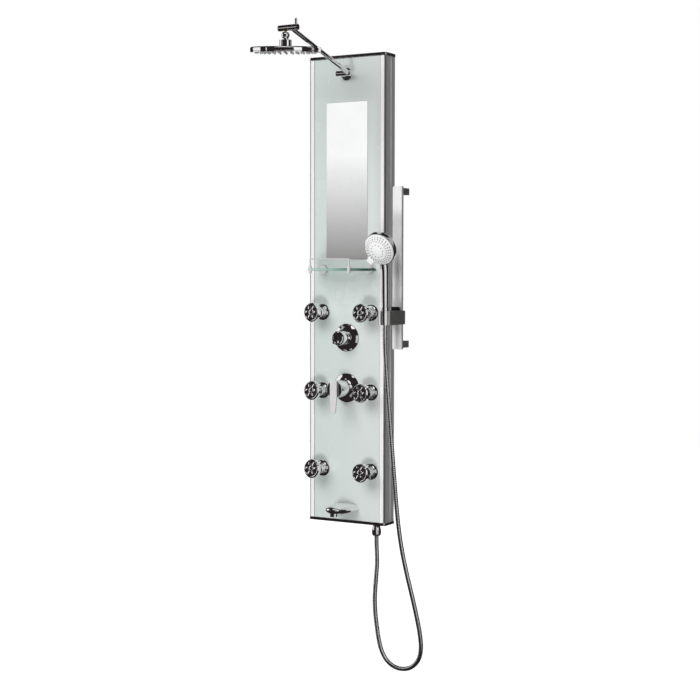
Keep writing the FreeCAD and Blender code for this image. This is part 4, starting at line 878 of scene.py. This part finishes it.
class SHOWER_OT_spout(Operator):
    """Build the flattened spout with the boss over its outlet, and its outlet ring"""
    bl_idname = "shower.spout"
    bl_label = "Spout"

    def execute(self, context):
        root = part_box("front_glass")[0].y
        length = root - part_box("spout")[0].y
        wide, tall, rise = 0.088, 0.037, -0.7015
        tip_from, tip_over = 0.86, 0.14
        rings = []
        steps = 28
        for step in range(steps + 1):
            share = math.sin(math.pi / 2 * step / steps)
            close = math.sqrt(1 - min(max((share - tip_from) / tip_over, 0), 0.9999) ** 2)
            narrow = (1 - 0.53 * share ** 1.7) * close
            flat = (1 - 0.46 * share ** 1.6) * close
            spot = at((0, root - length * share, rise + 0.004 * share), FORWARD)
            rings.append(spot @ Matrix.Diagonal((wide / 2 * narrow, tall / 2 * flat, 1, 1)))
        low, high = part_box("spout_outlet")
        centre = middle("spout_outlet")
        boss = rod((centre.x, centre.y, high.z), (centre.x, centre.y, rise), 0.0133, 0.0002)
        piece("spout_polished", joined(skinned(rings), boss), "spout")
        ring = [
            (0.0095, 0.0005),
            (0.0135, 0.0005),
            (0.0135, high.z - low.z, 0.0008),
            (0.0102, high.z - low.z, 0.0006),
            (0.0095, 0.0028),
        ]
        piece("spout_outlet_ring", turned(ring, at((centre.x, centre.y, high.z), DOWNWARD), 64, ring=True),
              "spout_outlet")
        return {"FINISHED"}


# ---- overhead arm

class SHOWER_OT_arm(Operator):
    """Build the overhead arm with its flange, barrels, knuckles, screw and clamp knob"""
    bl_idname = "shower.arm"
    bl_label = "Overhead arm"

    def execute(self, context):
        for node, soft in (("arm_base", 0.0007), ("arm_tube", 0.0007), ("tip_barrel", 0.0007),
                           ("tip_knob", 0.0007), ("arm_screw", 0.0004), ("swivel_socket", 0.0006)):
            piece(f"{node}_polished", recast(node, soft, 3, 40), node)
        return {"FINISHED"}


# ---- rain shower

class SHOWER_OT_rain(Operator):
    """Build the round overhead shower with its seam, face and rubber nozzles"""
    bl_idname = "shower.rain"
    bl_label = "Rain shower"

    def execute(self, context):
        settings = context.scene.rain_settings
        hinge = joint("rain_tilt")
        tilt = Matrix.Rotation(-settings.tilt, 4, Vector(hinge["axis"]))
        place = at(Vector(hinge["pos_m"]), tilt)
        top, bottom, radius = -0.0336, -0.0504, 0.106
        shell = [
            (0, top),
            (0.024, top, 0.0006),
            (0.0245, top - 0.0008, 0.0006),
            (radius - 0.0022, top - 0.0010, 0.0008),
            (radius, top - 0.0044, 0.0012),
            (radius, bottom + 0.0042, 0.0003),
            (radius - 0.0006, bottom + 0.0036, 0.0002),
            (radius - 0.0006, bottom + 0.0031, 0.0002),
            (radius, bottom + 0.0025, 0.0003),
            (radius, bottom, 0.0009),
            (radius - 0.0035, bottom, 0.0004),
            (radius - 0.0035, bottom + 0.0012),
            (0, bottom + 0.0012),
        ]
        piece("rain_shell_polished", turned(shell, place, 192), "rain_shell")
        tip = [
            (0, -0.004),
            (0.0010, -0.004, 0.0004),
            (0.0017, -0.0022),
            (0.0022, -0.0004),
            (0.0022, 0.0004),
            (0, 0.0004),
        ]
        nozzles = []
        for ring in range(1, settings.rings + 1):
            out = at((settings.ring_step * ring, 0, bottom))
            for step in range(6 * ring):
                nozzles.append(turned(tip, place @ around(step, 6 * ring) @ out, 14))
        piece("rain_nozzles_moulded", joined(*nozzles), "rain_nozzles", finish="pale_rubber")
        return {"FINISHED"}


# ---- shelf

class SHOWER_OT_shelf(Operator):
    """Build the glass shelf with its ground edge, its brackets and the gallery rail"""
    bl_idname = "shower.shelf"
    bl_label = "Shelf"

    def execute(self, context):
        low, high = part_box("shelf_glass")
        corner = 0.075
        outline = [
            (low.x, high.y),
            *arc((low.x + corner, low.y + corner), corner, 180, 270, 24),
            *arc((high.x - corner, low.y + corner), corner, 270, 360, 24),
            (high.x, high.y),
        ]
        shelf = piece("shelf_pane", prism(outline, high.z - low.z, at((0, 0, low.z)), 0.0007, 2), "shelf_glass")
        shelf.data.materials.append(finishes["shelf_edge"])
        for face in shelf.data.polygons:
            if abs(face.normal.z) < 0.5:
                face.material_index = 1
        piece("shelf_brackets_turned", recast("shelf_brackets", 0.0022, 4, 40), "shelf_brackets",
              finish="satin_chrome")
        self.gallery()
        return {"FINISHED"}

    def gallery(self):
        """A thin rail on two posts, each with a long bead that grips the glass."""
        low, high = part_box("gallery_rail")
        half = high.x - 0.0055
        out = (low.y + high.y) / 2
        rail = high.z - 0.0026
        glass = middle("shelf_glass").z
        parts = [rod((-half, out, rail), (half, out, rail), 0.00225, 0.0002, 24)]
        for side in (-1, 1):
            bead = [
                (0, -0.013),
                *arc((0, -0.0075), 0.0055, -80, 0, 8),
                *arc((0, 0.0075), 0.0055, 0, 58, 8),
                (0.0026, 0.0128, 0.0005),
                (0.0025, rail - glass, 0.0003),
            ]
            parts.append(turned(bead, at((half * side, out, glass)), 40))
            parts.append(ball((half * side, out, rail), 0.0026, 24))
        piece("gallery_rail_turned", joined(*parts), "gallery_rail", finish="satin_chrome")


# ---- slide bar

class SHOWER_OT_slide_bar(Operator):
    """Build the slide bar, its stand-offs, the slider with its release tab and the cradle"""
    bl_idname = "shower.slide_bar"
    bl_label = "Slide bar"

    def execute(self, context):
        for node, soft, finish in (("bar_standoffs", 0.0008, "slider_plastic"), ("slider_block", 0.0012, None),
                                   ("release_tab", 0.001, None), ("cradle_insert", 0.0008, "satin_chrome"),
                                   ("slide_bar", 0.0006, None)):
            piece(f"{node}_moulded", recast(node, soft, 3, 40), node, finish=finish)
        return {"FINISHED"}


# ---- hand shower

def spray_frame(settings):
    """The place of the spray face: its centre, with Z out of the face."""
    turn = Matrix.Rotation(settings.yaw, 4, "Z") @ Matrix.Rotation(math.radians(90) + settings.dip, 4, "X")
    return at(Vector(joint("spray_turn")["pos_m"]), turn)


class SHOWER_OT_hand_shower(Operator):
    """Build the hand shower with its turning face, spokes of nozzles and selector tab"""
    bl_idname = "shower.hand_shower"
    bl_label = "Hand shower"

    def execute(self, context):
        settings = context.scene.hand_shower_settings
        self.handle(settings)
        self.face(settings)
        return {"FINISHED"}

    def handle(self, settings):
        """The handle, which leans forward into the thick round head behind the face."""
        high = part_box("handset_nut")[1]
        foot = Vector((*middle("handset_nut").xy, high.z))
        place = spray_frame(settings)
        rings = []
        steps = 28
        for step in range(steps + 1):
            share = step / steps
            bend = max(share - 0.72, 0) / 0.28
            swollen = min(share / 0.8, 1.0)
            spot = foot + Vector((-0.002 * bend, -0.003 * share - 0.0065 * bend ** 1.5, 0.158 * share))
            radius = 0.0103 + 0.0023 * swollen + 0.0006 * math.sin(math.tau * swollen)
            rings.append(at(spot) @ Matrix.Diagonal((radius, radius, 1, 1)))
        shell = [
            (0, -0.030),
            *arc((0.03363, -0.01001), 0.020, -91.8, -14.5, 12),
            (0.053, -0.0026, 0.0012),
            (0.0521, -0.0012, 0.0006),
            (0.0510, -0.0012, 0.0003),
            (0.0510, -0.004),
            (0, -0.004),
        ]
        head = turned(shell, place, 160)
        piece("handset_body_polished", joined(skinned(rings), head), "handset_body")

    def face(self, settings):
        """The pale domed face with its spokes and ring of small nozzles, and the tab that turns it."""
        place = spray_frame(settings)
        edge, dome = settings.face_radius, settings.dome
        curve = (edge ** 2 + dome ** 2) / (2 * dome)
        start = math.degrees(math.acos(edge / curve))
        crown = arc((0, dome - curve), curve, start, 90, 40)
        groove_from, groove_to, groove_depth = 0.0232, 0.0258, 0.0005
        grooved = [
            (reach, height - (groove_depth if groove_from < reach < groove_to else 0)) for reach, height in crown
        ]
        disc = [(0, -0.0038), (edge - 0.0002, -0.0038), (edge - 0.0002, -0.0006, 0.0004), *grooved]
        turn = Matrix.Rotation(math.radians(-138), 4, "Z")
        tab = block((0.046, -0.011, -0.0009), (0.066, 0.011, 0.0031), 0.0014, 3)
        bmesh.ops.transform(tab, matrix=place @ turn, verts=tab.verts)
        piece("handset_face_moulded", joined(turned(disc, place, 160), tab), "handset_face")

        def spot(angle, reach):
            """On the dome, with Z straight out of it."""
            lean = Matrix.Rotation(math.asin(reach / curve), 4, "Y")
            height = dome - curve + math.sqrt(curve ** 2 - reach ** 2)
            return place @ Matrix.Rotation(angle, 4, "Z") @ at((reach, 0, height)) @ lean

        nozzles = []
        for spoke in range(settings.spokes):
            angle = math.tau * spoke / settings.spokes
            for reach, long, wide in ((0.0318, 0.0026, 0.0011), (0.0380, 0.0026, 0.0013), (0.0440, 0.0019, 0.0018)):
                nozzles.append(spot(angle, reach) @ Matrix.Diagonal((long, wide, 1, 1)))
        for step in range(settings.inner_nozzles):
            angle = math.tau * step / settings.inner_nozzles
            nozzles.append(spot(angle, 0.0205) @ Matrix.Diagonal((0.0016, 0.0016, 1, 1)))
        button = [(1, -0.0006), (0.95, 0.0003), (0.6, 0.0006), (0, 0.0006)]
        bumps = [turned(button, each, 12) for each in nozzles]
        piece("handset_nozzles", joined(*bumps), finish="nozzle_rubber", body=body_of["handset_face"])


# ---- hose

HOSE_ROUTE = [
    # in millimetres, from the outlet under the panel to the hand shower
    (94, -31, -788), (94, -31, -822), (99.5, -35, -868), (98, -40.5, -925),
    (95, -44.5, -982), (99, -48, -1034), (107, -51, -1078), (115, -54, -1117),
    (127.5, -56.5, -1156), (152.5, -58.5, -1189), (191.5, -60.5, -1204), (233.5, -62.5, -1197),
    (265, -65, -1169), (277, -67.5, -1130), (274, -70.5, -1080), (263, -74, -1023),
    (249, -77.5, -961), (232, -81.5, -893), (216, -86, -817), (204.5, -91, -731),
    (197, -99, -610), (191, -109, -480), (186.5, -119, -360), (183, -129, -260),
    (182.2, -136.5, -190), (182, -139, -145), (182, -139, -105),
]


class SHOWER_OT_hose(Operator):
    """Hang the shower hose from its nut to the hand shower"""
    bl_idname = "shower.hose"
    bl_label = "Hose"

    def execute(self, context):
        curve = bpy.data.curves.new("shower_hose_wound", "CURVE")
        curve.dimensions = "3D"
        curve.bevel_depth = 0.007
        curve.bevel_resolution = 6
        curve.resolution_u = 24
        curve.use_fill_caps = True
        spline = curve.splines.new("NURBS")
        spline.points.add(len(HOSE_ROUTE) - 1)
        for point, place in zip(spline.points, HOSE_ROUTE):
            point.co = (*[number * MM for number in place], 1)
        spline.order_u = 3
        spline.use_endpoint_u = True
        curve.materials.append(finishes["hose_metal"])
        hose = new_object("shower_hose_wound", curve)
        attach(hose, body_of["shower_hose"])
        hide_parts("shower_hose")
        return {"FINISHED"}


# ---- panel in the sidebar

OPERATORS = (
    SHOWER_OT_stage,
    SHOWER_OT_finishes,
    SHOWER_OT_hose,
    SHOWER_OT_case,
    SHOWER_OT_controls,
    SHOWER_OT_jets,
    SHOWER_OT_spout,
    SHOWER_OT_arm,
    SHOWER_OT_rain,
    SHOWER_OT_shelf,
    SHOWER_OT_slide_bar,
    SHOWER_OT_hand_shower,
)
SETTINGS = {
    "stage_settings": StageSettings,
    "finish_settings": FinishSettings,
    "jet_settings": JetSettings,
    "rain_settings": RainSettings,
    "hand_shower_settings": HandShowerSettings,
}


class SHOWER_PT_sidebar(Panel):
    """The steps that dress the shower panel, in order"""
    bl_label = "Shower panel column"
    bl_idname = "SHOWER_PT_sidebar"
    bl_space_type = "VIEW_3D"
    bl_region_type = "UI"
    bl_category = "Shower panel"

    def draw(self, context):
        for operator in OPERATORS:
            self.layout.operator(operator.bl_idname)
        for name, group in SETTINGS.items():
            box = self.layout.box()
            for field in group.__annotations__:
                box.prop(getattr(context.scene, name), field)


def register():
    for item in (*SETTINGS.values(), *OPERATORS, SHOWER_PT_sidebar):
        bpy.utils.register_class(item)
    for name, group in SETTINGS.items():
        setattr(bpy.types.Scene, name, PointerProperty(type=group))


def unregister():
    for name in SETTINGS:
        delattr(bpy.types.Scene, name)
    for item in (SHOWER_PT_sidebar, *reversed(OPERATORS), *SETTINGS.values()):
        bpy.utils.unregister_class(item)


def main():
    register()
    for operator in OPERATORS:
        family, name = operator.bl_idname.split(".")
        getattr(getattr(bpy.ops, family), name)()


if __name__ == "__main__":
    main()
